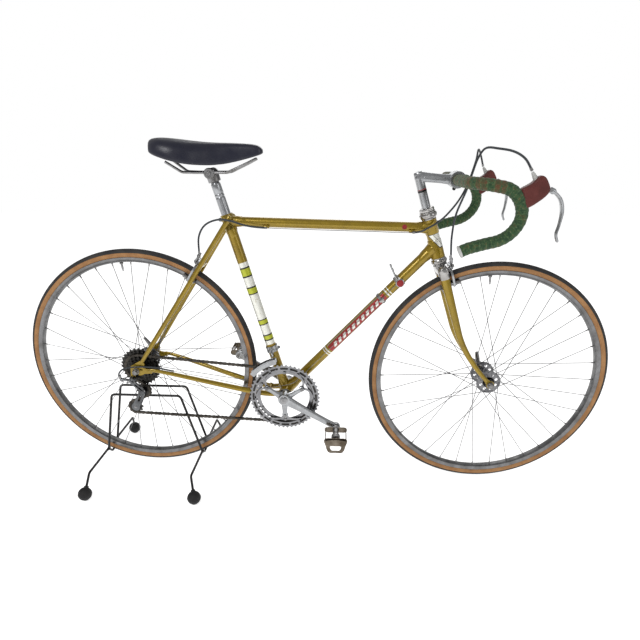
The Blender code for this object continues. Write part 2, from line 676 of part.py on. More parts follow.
def release_point(end):
    """The middle of the quick release's cam, outside the left dropout."""
    if end == "front":
        outside = FRONT_DROPOUT_GAP / 2 + GAP + FORK_TIP_THICK
        return FRONT + ACROSS * (outside + GAP + NUT_THICK + PLAY + CAM_RADIUS)
    outside = DROPOUT_Y + DROPOUT_THICK
    return REAR + ACROSS * (outside + GAP + NUT_THICK + PLAY + CAM_RADIUS)


def build_quick_release(end):
    """The skewer's cam and lever, closed. It flips outwards about the cam's axis."""
    out = side_vector(RELEASE_TILT[end])
    hinge_line = ACROSS.cross(out)
    centre = release_point(end)
    half = 0.0075
    cam = turned(f"{end}_quick_release", [(0, -half), (CAM_RADIUS, -half), (CAM_RADIUS, half),
                                          (0, half)], centre, hinge_line, "dull_steel", 14)
    points = [centre, centre + out * 0.018 + ACROSS * 0.0012, centre + out * 0.036 - ACROSS * 0.0005,
              centre + out * 0.052 - ACROSS * 0.0035]
    radii = [0.0050, 0.0048, 0.0062, 0.0045]
    arm = swept(f"{end}_release_arm", points, radii, None, 8, 0.5, hinge_line)
    join(cam, arm)


def build_freewheel():
    bore = FREEWHEEL_BORE + PLAY
    step = SPROCKET_STEP
    thick = SPROCKET_THICK / 2
    body = 0.0215
    profile = [(bore, SPROCKET_Y[0] + thick + 0.002), (body, SPROCKET_Y[0] + thick + 0.002)]
    for i, (teeth, y) in enumerate(zip(SPROCKET_TEETH, SPROCKET_Y)):
        radius = pitch_radius(teeth) + 0.001
        if i == DRIVEN:
            radius = pitch_radius(teeth) - CHAIN_HALF_HEIGHT - TOOTH_ROOM
        profile += [(radius, y + thick), (radius, y - thick), (body, y - step / 2)]
    profile += [(bore, SPROCKET_Y[-1] - step / 2)]
    turned("freewheel", profile, REAR, ACROSS, "dark_steel", 18)


def crank_arm(label, out, side):
    """A tapered arm from the spindle's boss to the pedal's eye."""
    boss_y, eye_y = CRANK_Y[label]
    name = f"crank_{label}"
    foot, tip = BB + ACROSS * boss_y, BB + ACROSS * eye_y
    points = [foot, foot + out * 0.020, tip + out * (CRANK_LENGTH - 0.030), tip + out * CRANK_LENGTH]
    arm = swept(name, points, [0.0125, 0.0120, 0.0088, 0.0090], "alloy", 10, 0.62, out.cross(ACROSS))
    near, far = sorted((side * (BB_HALF_WIDTH + 0.0035), boss_y + side * 0.0075))
    boss = disc(f"{name}_boss", 0.0165, near, far, BB, None, 20)
    eye = BB + out * CRANK_LENGTH
    end = disc(f"{name}_eye", 0.0125, eye_y - 0.0062, eye_y + 0.0062, eye, None, 16)
    hole = disc(f"{name}_eye_hole", 0.0058, eye_y - 0.02, eye_y + 0.02, eye, None, 12)
    join(arm, boss, end)
    return cut(arm, hole)


def build_cranks():
    right = crank_arm("right", CRANK_OUT, -1)
    boss = BB + ACROSS * (CRANK_Y["right"][0] + 0.006)
    spider = BB + ACROSS * (RING_Y[0] - RING_THICK / 2 - GAP - 0.003)
    for i in range(RING_BOLTS):
        out = side_vector(RING_BOLT_ANGLE + 2 * math.pi * i / RING_BOLTS)
        points = [boss, spider + out * (BOLT_CIRCLE - 0.012), spider + out * (BOLT_CIRCLE + 0.006)]
        join(right, swept(f"spider_arm_{i}", points, [0.011, 0.0065, 0.0058], None, 8, 0.45,
                          out.cross(ACROSS)))
    room = SPINDLE_HALF_LENGTH + 0.004
    cut(right, disc("spindle_room", SPINDLE_RADIUS + GAP, -room, room, BB, None, 16))
    left = crank_arm("left", -CRANK_OUT, 1)
    join(left, disc("bb_spindle", SPINDLE_RADIUS, -SPINDLE_HALF_LENGTH, CRANK_Y["left"][0] - 0.002,
                    BB, None, 16))
    build_rings()
    build_pedal("right", CRANK_OUT, -1)
    build_pedal("left", -CRANK_OUT, 1)


def build_rings():
    thick = RING_THICK / 2
    near, far = RING_Y[0] - thick, RING_Y[0] + thick
    outer_tip = pitch_radius(RING_TEETH[0]) + 0.0022
    outer = washer("chainring_outer", outer_tip, 0.0845, near, far, BB, "alloy", 40)
    for i in range(RING_BOLTS):
        angle = RING_BOLT_ANGLE + 2 * math.pi * i / RING_BOLTS
        start = side_vector(angle) * BOLT_CIRCLE
        join(outer, disc(f"ring_pad_{i}", 0.0085, near, far, BB + start, None, 12))
        for turn in (-32, 32):
            tip = side_vector(angle + math.radians(turn)) * 0.088
            along = (tip - start).normalized()
            across = Vector((-along.z, 0, along.x)) * 0.0042
            corners = [start + across, tip + across, tip - across, start - across]
            join(outer, side_plate(f"ring_strut_{i}_{turn}", [(c.x, c.z) for c in corners], BB,
                                   near, far))
    inner_tip = pitch_radius(RING_TEETH[1]) - CHAIN_HALF_HEIGHT - TOOTH_ROOM
    inner = washer("chainring_inner", inner_tip, 0.0715, RING_Y[1] - thick, RING_Y[1] + thick, BB,
                   "alloy", 36)
    for i in range(6):
        centre = BB + side_vector(math.radians(90 + 60 * i)) * 0.0765
        join(inner, disc(f"ring_spacer_{i}", 0.0042, far + GAP, RING_Y[1], centre, None, 6))


def build_pedal(label, out, side):
    """A quill pedal: a barrel in a cage, whose outer end hangs lower."""
    eye = BB + out * CRANK_LENGTH
    arm_y = CRANK_Y[label][1]
    inner = arm_y + side * 0.0078
    outer = inner + side * (PEDAL_LENGTH + 0.004)
    profile = [(0, 0), (0.0050, 0), (0.0050, 0.0140), (0.0095, 0.0142), (0.0120, 0.0180),
               (0.0085, 0.024), (0.0085, 0.052), (0.0120, 0.058), (0.0110, 0.070), (0, 0.072)]
    pedal = turned(f"pedal_{label}", profile, eye + ACROSS * (arm_y - side * 0.0055), ACROSS * side,
                   "pedal_bronze", 16)
    half, thick, wide = 0.030, 0.0020, 0.0115
    near, far = sorted((inner + side * 0.010, outer + side * 0.008))
    cage = side_plate(f"pedal_cage_{label}", [(-half, -wide), (half, -wide), (half, wide),
                                              (-half, wide)], eye, near, far)
    room, through = half - thick, 0.05
    hollow = side_plate(f"pedal_hollow_{label}", [(-room, -through), (room, -through),
                                                  (room, through), (-room, through)],
                        eye, near + 0.003, far - 0.003)
    cut(cage, hollow)
    near, far = sorted((outer + side * 0.0045, outer + side * 0.0078))
    quill = side_plate(f"pedal_quill_{label}", [(-0.028, -0.008), (-0.018, -0.034),
                                                (0.018, -0.034), (0.028, -0.008)], eye, near, far)
    join(pedal, cage, quill)


def tangent_run(first, second):
    """The two ends of the chain's straight run between wheels given as (centre, radius, turn)."""
    (c1, r1, s1), (c2, r2, s2) = first, second
    line = c2 - c1
    distance = line.length
    base = math.atan2(line.z, line.x)
    lean = math.acos((s1 * r1 - s2 * r2) / distance)
    normal = side_vector(base - lean)
    return c1 + normal * r1 * s1, c2 + normal * r2 * s2


def chain_path():
    """The chain's pitch line as a closed list of points."""
    pulley = pitch_radius(PULLEY_TEETH)
    wheels = [(BB, pitch_radius(RING_TEETH[1]), 1),
              (REAR, pitch_radius(SPROCKET_TEETH[DRIVEN]), 1), (PULLEYS[0], pulley, -1),
              (PULLEYS[1], pulley, 1)]
    runs = [tangent_run(a, b) for a, b in zip(wheels, wheels[1:] + wheels[:1])]
    points = []
    for i, (centre, radius, turn) in enumerate(wheels):
        start = runs[i - 1][1] - centre
        end = runs[i][0] - centre
        a0 = math.atan2(start.z, start.x)
        sweep = (math.atan2(end.z, end.x) - a0) * turn % (2 * math.pi)
        steps = max(3, round(sweep / math.radians(18)))
        points += [centre + side_vector(a0 + turn * sweep * k / steps) * radius
                   for k in range(steps + 1)]
        run = runs[i]
        points.append(run[0].lerp(run[1], 0.5))
    return points


def build_chain():
    points = chain_path()
    y = RING_Y[1]
    bm = bmesh.new()
    loops = []
    for i, point in enumerate(points):
        along = (points[(i + 1) % len(points)] - points[i - 1]).normalized()
        across = Vector((-along.z, 0, along.x)) * CHAIN_HALF_HEIGHT
        base = Vector((point.x, y, point.z))
        wide = ACROSS * CHAIN_HALF_WIDTH
        loops.append([bm.verts.new(base + a * across + b * wide)
                      for a, b in ((1, 1), (1, -1), (-1, -1), (-1, 1))])
    ring_loops(bm, loops, True)
    add("chain", bm, "dark_steel")


def build_rear_derailleur():
    y = RING_Y[1]
    inside = (y + CHAIN_HALF_WIDTH + 0.0006, y + CHAIN_HALF_WIDTH + 0.0020)
    outside = (y - CHAIN_HALF_WIDTH - 0.0020, y - CHAIN_HALF_WIDTH - 0.0006)
    top, low = PULLEYS
    along = (low - top).normalized()
    square = Vector((-along.z, 0, along.x))
    outline = []
    for centre, start in ((top, 0), (low, 180)):
        for a in range(0, 181, 36):
            turn = math.radians(start + a)
            outline.append(centre - top + (square * math.cos(turn) - along * math.sin(turn)) * 0.0095)
    shape = [(p.x, p.z) for p in outline]
    cage = side_plate("rear_derailleur_cage", shape, top, outside[0], outside[1], "alloy")
    inner = side_plate("cage_inner_plate", shape, top, inside[0], inside[1])
    radius = pitch_radius(PULLEY_TEETH) - CHAIN_HALF_HEIGHT - TOOTH_ROOM
    parts = [inner]
    for i, centre in enumerate(PULLEYS):
        parts.append(disc(f"pulley_{i}", radius, y - 0.0015, y + 0.0015, centre, None, 16))
        parts.append(disc(f"pulley_bolt_{i}", 0.005, outside[0] - 0.0006, inside[1] + 0.0005, centre,
                          None, 8))
    join(cage, *parts)
    pivot = outside[0] - 0.0006 - GAP
    face = -(DROPOUT_Y + DROPOUT_THICK) - GAP
    bolt = disc("rear_derailleur_body", 0.0095, face - 0.014, face, HANGER, "alloy", 16)
    arm = swept("derailleur_link", [HANGER + ACROSS * (face - 0.0099),
                                    HANGER + Vector((0.010, face - 0.0104, -0.020)),
                                    Vector((top.x + 0.004, pivot - 0.012, top.z + 0.010)),
                                    Vector((top.x, pivot - 0.008, top.z))],
                [0.008, 0.0095, 0.0095, 0.008], None, 8)
    barrel = disc("cage_pivot", 0.0105, pivot - 0.015, pivot, top, None, 16)
    join(bolt, arm, barrel)


def build_front_derailleur():
    place = BB + SEAT_UP * FRONT_CLAMP_HEIGHT
    clamp = washer_along("front_derailleur_clamp", SEAT_TUBE_RADIUS + 0.0035, SEAT_TUBE_RADIUS + GAP,
                         -0.009, 0.009, place, SEAT_UP, "alloy")
    high = pitch_radius(RING_TEETH[0])
    shape = arc(high + 0.0215, 102, 142, 8) + arc(high + 0.0065, 142, 102, 8)
    inside = RING_Y[1] + CHAIN_HALF_WIDTH + 0.0012
    outside = RING_Y[0] - RING_THICK / 2 - 0.0032
    wall = 0.0014
    cage = side_plate("front_derailleur_cage", shape, BB, outside - wall, outside, "alloy")
    inner = side_plate("front_cage_inner", shape, BB, inside, inside + wall)
    near, far = outside - wall + 0.0004, inside + wall - 0.0004
    head = side_plate("front_cage_head", arc(high + 0.0210, 102.5, 108, 2)
                      + arc(high + 0.0150, 108, 102.5, 2), BB, near, far)
    tail = side_plate("front_cage_tail", arc(high + 0.0190, 138, 141.5, 2)
                      + arc(high + 0.0090, 141.5, 138, 2), BB, near, far)
    join(cage, inner, head, tail)
    ear = BB + side_vector(math.radians(105)) * (high + 0.026)
    arm = swept("front_derailleur_arm", [place - ACROSS * (SEAT_TUBE_RADIUS + 0.002),
                                         place - ACROSS * 0.030 + Vector((0.004, 0, 0)),
                                         Vector((ear.x, inside, ear.z + 0.007))],
                [0.006, 0.007, 0.006], None, 8)
    join(clamp, arm)


def build_seat():
    top = SEAT_TOP + SEAT_UP * SEATPOST_SHOWN
    low = -SEATPOST_SHOWN - SEATPOST_HIDDEN
    neck = 0.0108
    turned("seatpost", [(0, low), (SEATPOST_RADIUS, low), (SEATPOST_RADIUS, -0.024), (neck, -0.022),
                        (neck, 0), (0, 0)], top, SEAT_UP, "alloy", 16)
    clamp = washer_along("saddle_rails", 0.0165, neck + GAP, -0.020, -0.001, top, SEAT_UP, "dull_steel")
    barrel = top + Vector((-0.002, 0, 0.002))
    block = swept("rail_clamp", [barrel - ACROSS * 0.030, barrel + ACROSS * 0.030], 0.0095, None, 10,
                  across=Vector((0, 0, 1)))
    room = neck + GAP
    post_room = turned("post_room", [(0, -0.03), (room, -0.03), (room, GAP), (0, GAP)],
                       top, SEAT_UP, None, 16)
    join(clamp, block)
    cut(clamp, post_room)
    z = barrel.z + 0.002
    for side in (-1, 1):
        y = side * 0.0225
        path = [(top.x - 0.108, side * 0.036, z + 0.026), (top.x - 0.070, y * 1.15, z + 0.001),
                (top.x - 0.040, y, z), (top.x + 0.045, y, z), (top.x + 0.095, side * 0.012, z + 0.022),
                (top.x + 0.116, side * 0.0065, z + 0.032)]
        join(clamp, swept(f"saddle_rail_{side}", rounded(path, 0.02, 2), RAIL_RADIUS, None, 6))
    build_saddle(top)


def washer_along(name, outer, inner, low, high, centre, axis, look=None):
    profile = [(inner, low), (outer, low), (outer, high), (inner, high)]
    return turned(name, profile, centre, axis, look, 16)


def build_saddle(top):
    """Sections from the tail to the nose: (ahead, half width, crown height, skirt height)."""
    sections = [(-0.148, 0.030, 0.080, 0.062), (-0.140, 0.052, 0.0895, 0.055),
                (-0.118, 0.068, 0.0915, 0.046), (-0.085, SADDLE_HALF_WIDTH, 0.0890, 0.036),
                (-0.050, 0.067, 0.0850, 0.029), (-0.015, 0.048, 0.0815, 0.026),
                (0.020, 0.032, 0.0795, 0.0265), (0.060, 0.0235, 0.0785, 0.034),
                (0.100, 0.0195, 0.0765, 0.044), (0.124, 0.0160, 0.072, 0.051),
                (0.133, 0.0090, 0.062, 0.055)]
    bm = bmesh.new()
    loops = []
    for ahead, half, crown, skirt in sections:
        base = Vector((top.x + ahead, 0, top.z - 0.006))
        tall = crown - skirt
        shape = [(-0.90, 0.0), (-1.0, 0.35), (-0.86, 0.80), (-0.45, 0.97), (0, 1.0),
                 (0.45, 0.97), (0.86, 0.80), (1.0, 0.35), (0.90, 0.0), (0.45, 0.22), (0, 0.30),
                 (-0.45, 0.22)]
        loops.append([bm.verts.new(base + Vector((0, half * a, skirt + tall * b))) for a, b in shape])
    ring_loops(bm, loops, False)
    add("saddle", bm, "black_saddle")


def build_cockpit():
    level = HEAD_TOP + STEER_UP * STEM_RISE
    quill = turned("stem", [(0, -STEM_RISE - 0.040), (QUILL_RADIUS, -STEM_RISE - 0.040),
                            (QUILL_RADIUS, 0.008), (0.0095, 0.011), (0, 0.011)],
                   level, STEER_UP, "alloy", 16)
    extension = swept("stem_extension", [level - Vector((0.003, 0, 0)),
                                         BAR_CENTRE - Vector((0.012, 0, 0))],
                      [0.0125, 0.0118], None, 12)
    collar = disc("stem_collar", 0.0205, -0.021, 0.021, BAR_CENTRE, None, 16)
    hole = disc("stem_bore", BAR_RADIUS + 2 * GAP, -0.03, 0.03, BAR_CENTRE, None, 16)
    join(quill, extension, collar)
    cut(quill, hole)
    path = bar_path()
    swept("handlebar", path, BAR_RADIUS, "green_tape", 8, across=Vector((0, 0, 1)))
    room = swept("handlebar_room", path, BAR_RADIUS + GAP, None, 8, across=Vector((0, 0, 1)))
    for label, side in SIDES:
        build_brake_hood(label, side, room)


def bar_half_path():
    """The bar's centre line from the stem to its left end."""
    x, z, w = BAR_CENTRE.x, BAR_CENTRE.z, BAR_HALF_WIDTH
    ahead, drop = BAR_REACH, BAR_DROP
    hook = drop * 0.46
    points = [Vector((x, 0, z)), Vector((x, w - 0.065, z)), Vector((x + 0.006, w - 0.035, z)),
              Vector((x + 0.024, w - 0.012, z - 0.001)), Vector((x + 0.046, w - 0.002, z - 0.004))]
    curve = [(0.072, 0.010), (0.090, 0.023), (0.102, 0.042), (0.1065, 0.064), (0.101, 0.086),
             (0.086, 0.106), (0.064, 0.1195), (0.035, 0.127), (0.000, 0.137), (-0.016, 0.144)]
    for forward, down in curve:
        points.append(Vector((x + forward * ahead / 0.1065, w, z - down * drop / 0.144)))
    return points


def bar_path():
    half = smooth_path(bar_half_path(), 0.021)
    return mirrored(half[:0:-1], -1) + half


def hood_point(side):
    """The brake lever's pivot, at the front of its hood."""
    return BAR_CENTRE + Vector((BAR_REACH + 0.047, side * BAR_HALF_WIDTH, -0.013))


def build_brake_hood(label, side, room):
    pivot = hood_point(side)
    outline = [(-0.060, 0.004), (-0.036, 0.016), (-0.028, 0.028), (-0.015, 0.030), (-0.006, 0.018),
               (0.0, 0.002), (-0.004, -0.008), (-0.020, -0.024), (-0.040, -0.036), (-0.052, -0.030)]
    hood = side_plate(f"brake_hood_{label}", outline, pivot, -0.0135, 0.0135, "maroon_hood")
    modifier = hood.modifiers.new("soft edges", "BEVEL")
    modifier.width = 0.003
    modifier.segments = 1
    cut(hood, room)
    lever = [(0.004, 0.002), (0.016, -0.005), (0.030, -0.020), (0.037, -0.044), (0.036, -0.072),
             (0.033, -0.092), (0.038, -0.106)]
    points = [pivot + Vector((a, 0, b)) for a, b in lever]
    swept(f"brake_lever_{label}", smooth_path(points, 0.013), LEVER_WIDTH / 2, "alloy", 8, 0.55)


def caliper(end, pivot, down, out, first, reach):
    """Two brake arms that cross at the pivot, in two layers, with a shoe at each side of the rim."""
    thick = 0.0055
    shoe = RIM_WIDTH / 2 + PAD_GAP
    across = down.cross(out)
    for index, (label, side) in enumerate(SIDES):
        layer = first + index * (thick + PLAY)
        outline = [(-0.009, 0.000), (-0.005, -0.009), (0.006, -0.0095), (0.024, -0.004), (0.033, 0.010),
                   (0.0345, 0.026), (0.030, reach + 0.004), (0.0215, reach + 0.004),
                   (0.0235, 0.026), (0.021, 0.015), (0.008, 0.0085), (-0.005, 0.008)]
        outline = [(side * across.y * a, b) for a, b in outline]
        arm = plate(f"{end}_brake_arm_{label}", outline, pivot, across, down, layer, layer + thick,
                    "alloy")
        base = pivot + down * reach + out * (layer + thick / 2) + ACROSS * side * (shoe + 0.0055)
        block = swept(f"{end}_shoe_{label}", [base - out * 0.018, base + out * 0.018], 0.0052, None, 8,
                      1.0, ACROSS)
        start, tip = ((0.024, -0.002), (0.036, 0.008)) if side < 0 else ((0.004, 0.000), (0.030, 0.024))
        middle = pivot + out * (layer + thick / 2)
        ear = swept(f"{end}_cable_ear_{label}", [middle - ACROSS * side_in - down * rise
                                                for side_in, rise in (start, tip)],
                    [0.0050, 0.0042], None, 8, thick / 0.0105, down)
        room = 0.0032
        hole = turned(f"{end}_pivot_hole_{label}", [(0, -0.03), (room, -0.03), (room, 0.05),
                                                    (0, 0.05)], pivot, out, None, 10)
        join(arm, block, ear)
        cut(arm, hole)
    far = first + 2 * thick + PLAY * 2
    return turned(f"{end}_brake_bolt", [(0, 0), (0.0024, 0), (0.0024, far), (0.0055, far),
                                        (0.0055, far + 0.004), (0, far + 0.004)], pivot, out, None, 10)


def build_brakes():
    bolt = caliper("front", CROWN, -STEER_UP, STEER_AHEAD, 0.0180, BRAKE_REACH[0])
    join(bpy.data.objects["fork_crown"], bolt)
    bolt = caliper("rear", bridge_point(), -STAY_UP, STAY_BACK, 0.0078, BRAKE_REACH[1])
    join(bpy.data.objects["seat_stays"], bolt)


def build_shifters():
    place, along = SHIFTERS, DOWN_TUBE_ALONG
    band = washer_along("shifter_clamp", DOWN_TUBE_RADIUS + 0.0035, DOWN_TUBE_RADIUS + GAP,
                        -0.008, 0.008, place, along, "chrome")
    bosses = disc("shifter_bosses", 0.0055, -0.030, 0.030, place, None, 12)
    room = turned("down_tube_bore", [(0, -0.05), (DOWN_TUBE_RADIUS + GAP, -0.05),
                                     (DOWN_TUBE_RADIUS + GAP, 0.05), (0, 0.05)], place, along, None, 16)
    join(band, bosses)
    cut(band, room)
    for label, side in SIDES:
        near, far = sorted((side * (DOWN_TUBE_RADIUS + 0.0045), side * 0.0275))
        lever = washer(f"shift_lever_{label}", 0.0115, 0.0055 + GAP, near, far, place, "alloy", 16)
        y = side * (DOWN_TUBE_RADIUS + 0.0085)
        up = Vector((-along.z, 0, along.x))
        path = [place + ACROSS * y + up * 0.0085, place + ACROSS * y + up * 0.024 + along * 0.004,
                place + ACROSS * y * 1.08 + up * 0.043 + along * 0.012]
        join(lever, swept(f"shift_blade_{label}", path, [0.0048, 0.0042, 0.0062], None, 8, 0.6))


def cord(name, points, radius):
    curve = bpy.data.curves.new(name, "CURVE")
    curve.dimensions = "3D"
    curve.bevel_depth = radius
    curve.bevel_resolution = 2
    curve.use_fill_caps = True
    spline = curve.splines.new("POLY")
    spline.points.add(len(points) - 1)
    for place, point in zip(spline.points, points):
        place.co = (*point, 1)
    look = "dark_housing"
    curve.materials.append(bpy.data.materials.get(look) or make_material(look))
    obj = bpy.data.objects.new(name, curve)
    bpy.context.scene.collection.objects.link(obj)


def near(place, *offsets):
    return [place + Vector(offset) for offset in offsets]


def beside_down_tube(y, *distances):
    """Points this far along the down tube from the bottom bracket, beside its axis."""
    up = Vector((-DOWN_TUBE_ALONG.z, 0, DOWN_TUBE_ALONG.x))
    return [BB + DOWN_TUBE_ALONG * d + up * 0.003 + ACROSS * y for d in distances]


def under_top_tube(*places):
    """Points at each share of the top tube's length, with y and z from its axis there."""
    return [SEAT_LUG.lerp(TOP_TUBE_END, share) + Vector((0, y, z)) for share, y, z in places]


def build_cables():
    points = near(hood_point(-1), (-0.0404, 0, 0.0402), (-0.0564, 0.004, 0.0632),
                  (-0.0774, 0.017, 0.0772), (-0.1024, 0.040, 0.0832))
    points += near(BAR_CENTRE, (0.0306, -0.120, 0.0715), (0.0236, -0.092, 0.0515),
                   (0.0216, -0.067, 0.0215), (0.0166, -0.048, -0.0205))
    points += near(CROWN, (0.0164, -0.034, 0.1459), (0.0124, -0.031, 0.0909), (0.0159, -0.030, 0.0394))
    cord("front_brake_cable", smooth_path(points, 0.018), BRAKE_CABLE_RADIUS)

    points = near(hood_point(1), (-0.0404, 0, 0.0402), (-0.0524, -0.007, 0.0702),
                  (-0.0664, -0.030, 0.0832), (-0.0784, -0.065, 0.0552), (-0.1024, -0.105, 0.0002))
    points += near(HEAD_TOP, (0.0829, 0.045, 0.0460), (0.0499, 0.005, 0.0160),
                   (0.0239, -0.022, -0.0010), (-0.0041, -0.027, -0.0180))
    points += under_top_tube((0.911, -0.0215, -0.0109), (0.700, -0.0160, -0.0124),
                             (0.418, -0.0160, -0.0128), (0.193, -0.0180, -0.0119))
    points += near(SEAT_LUG, (0.0524, -0.0290, -0.0076), (0.0104, -0.0355, 0.0054),
                   (-0.0226, -0.0350, 0.0074), (-0.0556, -0.0330, -0.0066))
    points += near(bridge_point(), (0.0054, -0.0310, 0.0807), (0.0019, -0.0300, 0.0377))
    cord("rear_brake_cable", smooth_path(points, 0.026), BRAKE_CABLE_RADIUS)

    points = beside_down_tube(-0.0235, SHIFTER_HEIGHT - 0.064)
    points += beside_down_tube(-0.0205, 0.206, 0.0751)
    points += near(BB, (0.023, -0.0215, 0.033), (-0.006, -0.025, 0.025), (-0.085, -0.030, 0.017))
    points += near(REAR, (0.254, -0.040, -0.0395), (0.104, -0.0585, -0.001), (0.054, -0.065, 0.012),
                   (0.004, -0.0745, 0.0165), (-0.031, -0.080, 0.012), (-0.047, -0.081, -0.006),
                   (-0.040, -0.080, -0.027))
    cord("shift_cable_right", smooth_path(points, 0.036), SHIFT_CABLE_RADIUS)

    points = beside_down_tube(0.0235, SHIFTER_HEIGHT - 0.064)
    points += beside_down_tube(0.0205, 0.206, 0.0893)
    points += near(BB, (0.027, 0.0195, 0.036))
    cord("shift_cable_left", smooth_path(points, 0.030), SHIFT_CABLE_RADIUS)


def hinge(name, place, *moved, parent=None):
    """An empty on a joint's axis, which carries the pieces that move with it."""
    empty = bpy.data.objects.new(name, None)
    bpy.context.scene.collection.objects.link(empty)
    carry(empty, parent, Matrix.Translation(place))
    for node in moved:
        carry(bpy.data.objects[node], empty, Matrix.Identity(4))
    return empty


def carry(obj, parent, world):
    """Puts obj at world, parented or not, with its parent's own place undone."""
    if parent:
        obj.parent = parent
        obj.matrix_parent_inverse = parent.matrix_world.inverted()
    obj.matrix_basis = world
    bpy.context.view_layer.update()


def hang_moving_pieces():
    """One empty on each joint's axis, from the bicycle on the stand down to its levers."""
    bike = hinge("bike_lift_hinge", REAR, *FRAME_PIECES)
    hinge("seat_hinge", SEAT_TOP, "seatpost", "saddle_rails", "saddle", parent=bike)
    hinge("rear_wheel_hinge", REAR, "rear_hub_and_spokes", "rear_rim", "rear_tyre", parent=bike)
    hinge("freewheel_hinge", REAR, "freewheel", parent=bike)
    cranks = hinge("crank_hinge", BB, "crank_right", "crank_left", "chainring_outer",
                   "chainring_inner", parent=bike)
    hinge("derailleur_cage_hinge", PULLEYS[0], "rear_derailleur_cage", parent=bike)
    steering = hinge("steering_hinge", HEAD_FOOT, "fork_crown", "fork_blade_right",
                     "fork_blade_left", "front_axle", "stem", "handlebar", "brake_hood_right",
                     "brake_hood_left", "front_brake_cable", parent=bike)
    hinge("front_wheel_hinge", FRONT, "front_hub_and_spokes", "front_rim", "front_tyre",
          parent=steering)
    for label, side in SIDES:
        hinge(f"pedal_{label}_hinge", BB - CRANK_OUT * CRANK_LENGTH * side, f"pedal_{label}",
              parent=cranks)
        hinge(f"shift_lever_{label}_hinge", SHIFTERS, f"shift_lever_{label}", parent=bike)
        hinge(f"brake_lever_{label}_hinge", hood_point(side), f"brake_lever_{label}",
              parent=steering)
        hinge(f"front_brake_arm_{label}_hinge", CROWN, f"front_brake_arm_{label}", parent=steering)
        hinge(f"rear_brake_arm_{label}_hinge", bridge_point(), f"rear_brake_arm_{label}",
              parent=bike)
    hinge("front_release_hinge", release_point("front"), "front_quick_release", parent=steering)
    hinge("rear_release_hinge", release_point("rear"), "rear_quick_release", parent=bike)


def main():
    clear_scene()
    build_stand()
    build_frame()
    build_headset()
    build_fork()
    build_wheels()
    build_freewheel()
    build_cranks()
    build_chain()
    build_rear_derailleur()
    build_front_derailleur()
    build_seat()
    build_cockpit()
    build_brakes()
    build_shifters()
    build_cables()
    hang_moving_pieces()


main()
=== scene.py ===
"""Looks of the ten-speed road bicycle whose rear tyre stands in a bent-wire floor stand.

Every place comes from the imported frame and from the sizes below, which are those of the
part. Lengths are in metres. Side -1 is the right, where the chain is.
"""

import json
import math

import bmesh
import bpy
from mathutils import Matrix, Vector


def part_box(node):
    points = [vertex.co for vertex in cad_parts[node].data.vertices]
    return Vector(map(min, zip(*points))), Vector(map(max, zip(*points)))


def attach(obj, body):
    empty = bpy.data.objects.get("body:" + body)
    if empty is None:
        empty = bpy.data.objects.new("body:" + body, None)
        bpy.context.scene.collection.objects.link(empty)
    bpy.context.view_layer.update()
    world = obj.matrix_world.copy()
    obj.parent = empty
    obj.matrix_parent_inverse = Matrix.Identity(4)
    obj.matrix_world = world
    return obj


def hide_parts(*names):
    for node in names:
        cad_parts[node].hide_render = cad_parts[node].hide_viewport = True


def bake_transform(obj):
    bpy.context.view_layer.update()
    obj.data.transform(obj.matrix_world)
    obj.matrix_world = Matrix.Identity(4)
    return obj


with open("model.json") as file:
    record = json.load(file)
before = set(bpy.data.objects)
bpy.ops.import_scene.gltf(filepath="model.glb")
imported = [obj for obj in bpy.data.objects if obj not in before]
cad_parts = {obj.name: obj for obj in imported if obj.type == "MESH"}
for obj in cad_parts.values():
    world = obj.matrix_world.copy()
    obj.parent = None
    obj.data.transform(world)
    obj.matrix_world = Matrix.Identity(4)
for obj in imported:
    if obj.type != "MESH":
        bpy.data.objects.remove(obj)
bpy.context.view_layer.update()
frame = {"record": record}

ACROSS = Vector((0, 1, 0))
AHEAD = Vector((1, 0, 0))
UP = Vector((0, 0, 1))
SIDES = (("right", -1), ("left", 1))


def side_vector(angle):
    """A unit vector in the side view, angle up from straight ahead."""
    return Vector((math.cos(angle), 0, math.sin(angle)))


def middle(node):
    """The middle of a CAD node's box."""
    low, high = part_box(node)
    return (Vector(low) + Vector(high)) / 2


# Sizes of the part
RIM_RADIUS = 0.3165
TYRE_RADIUS = 0.338
TYRE_WIDTH = 0.0235
RIM_WIDTH = 0.0215
RIM_DEPTH = 0.0145
FLANGE_RADIUS = 0.0335
SPOKES = 36
TOP_TUBE_RADIUS = 0.0127
DOWN_TUBE_RADIUS = 0.0143
HEAD_TUBE_RADIUS = 0.0162
HEAD_TUBE_LENGTH = 0.103
SEAT_TUBE_RADIUS = 0.0143
SEAT_TUBE_LENGTH = 0.532
STAY_RADIUS = 0.0066
LUG_WALL = 0.0018
BB_HALF_WIDTH = 0.034
SEATPOST_RADIUS = 0.0125
BAR_RADIUS = 0.0133
BAR_HALF_WIDTH = 0.190
CRANK_LENGTH = 0.1715
EYE_Y = (-0.0740, 0.0700)    # how far across the right and left cranks' pedal eyes are
RING_TEETH = (50, 42)
BOLT_CIRCLE = 0.058
RING_HALF_THICK = 0.0010
PULLEY_TEETH = 10
LINK = 0.0127
RING_Y = (-0.0500, -0.0435)
SPROCKET_TEETH = (28, 24, 20, 17, 14)
SPROCKET_STEP = 0.0055
DRIVEN = 2
RAKE = 0.050
FORK_LENGTH = TYRE_RADIUS + 0.046
CROWN_DROP = 0.034
FORK_TIP_Y = 0.0503
FORK_TIP_THICK = 0.004
BLADE_Y = 0.0315
DROPOUT_Y = 0.0633
DROPOUT_THICK = 0.005
CABLE_STOP = 0.394           # from the bottom bracket along the down tube
HOUSING_RADIUS = 0.0025
INNER_WIRE_RADIUS = 0.0008
GAP = 0.0003                 # left between pieces that would touch

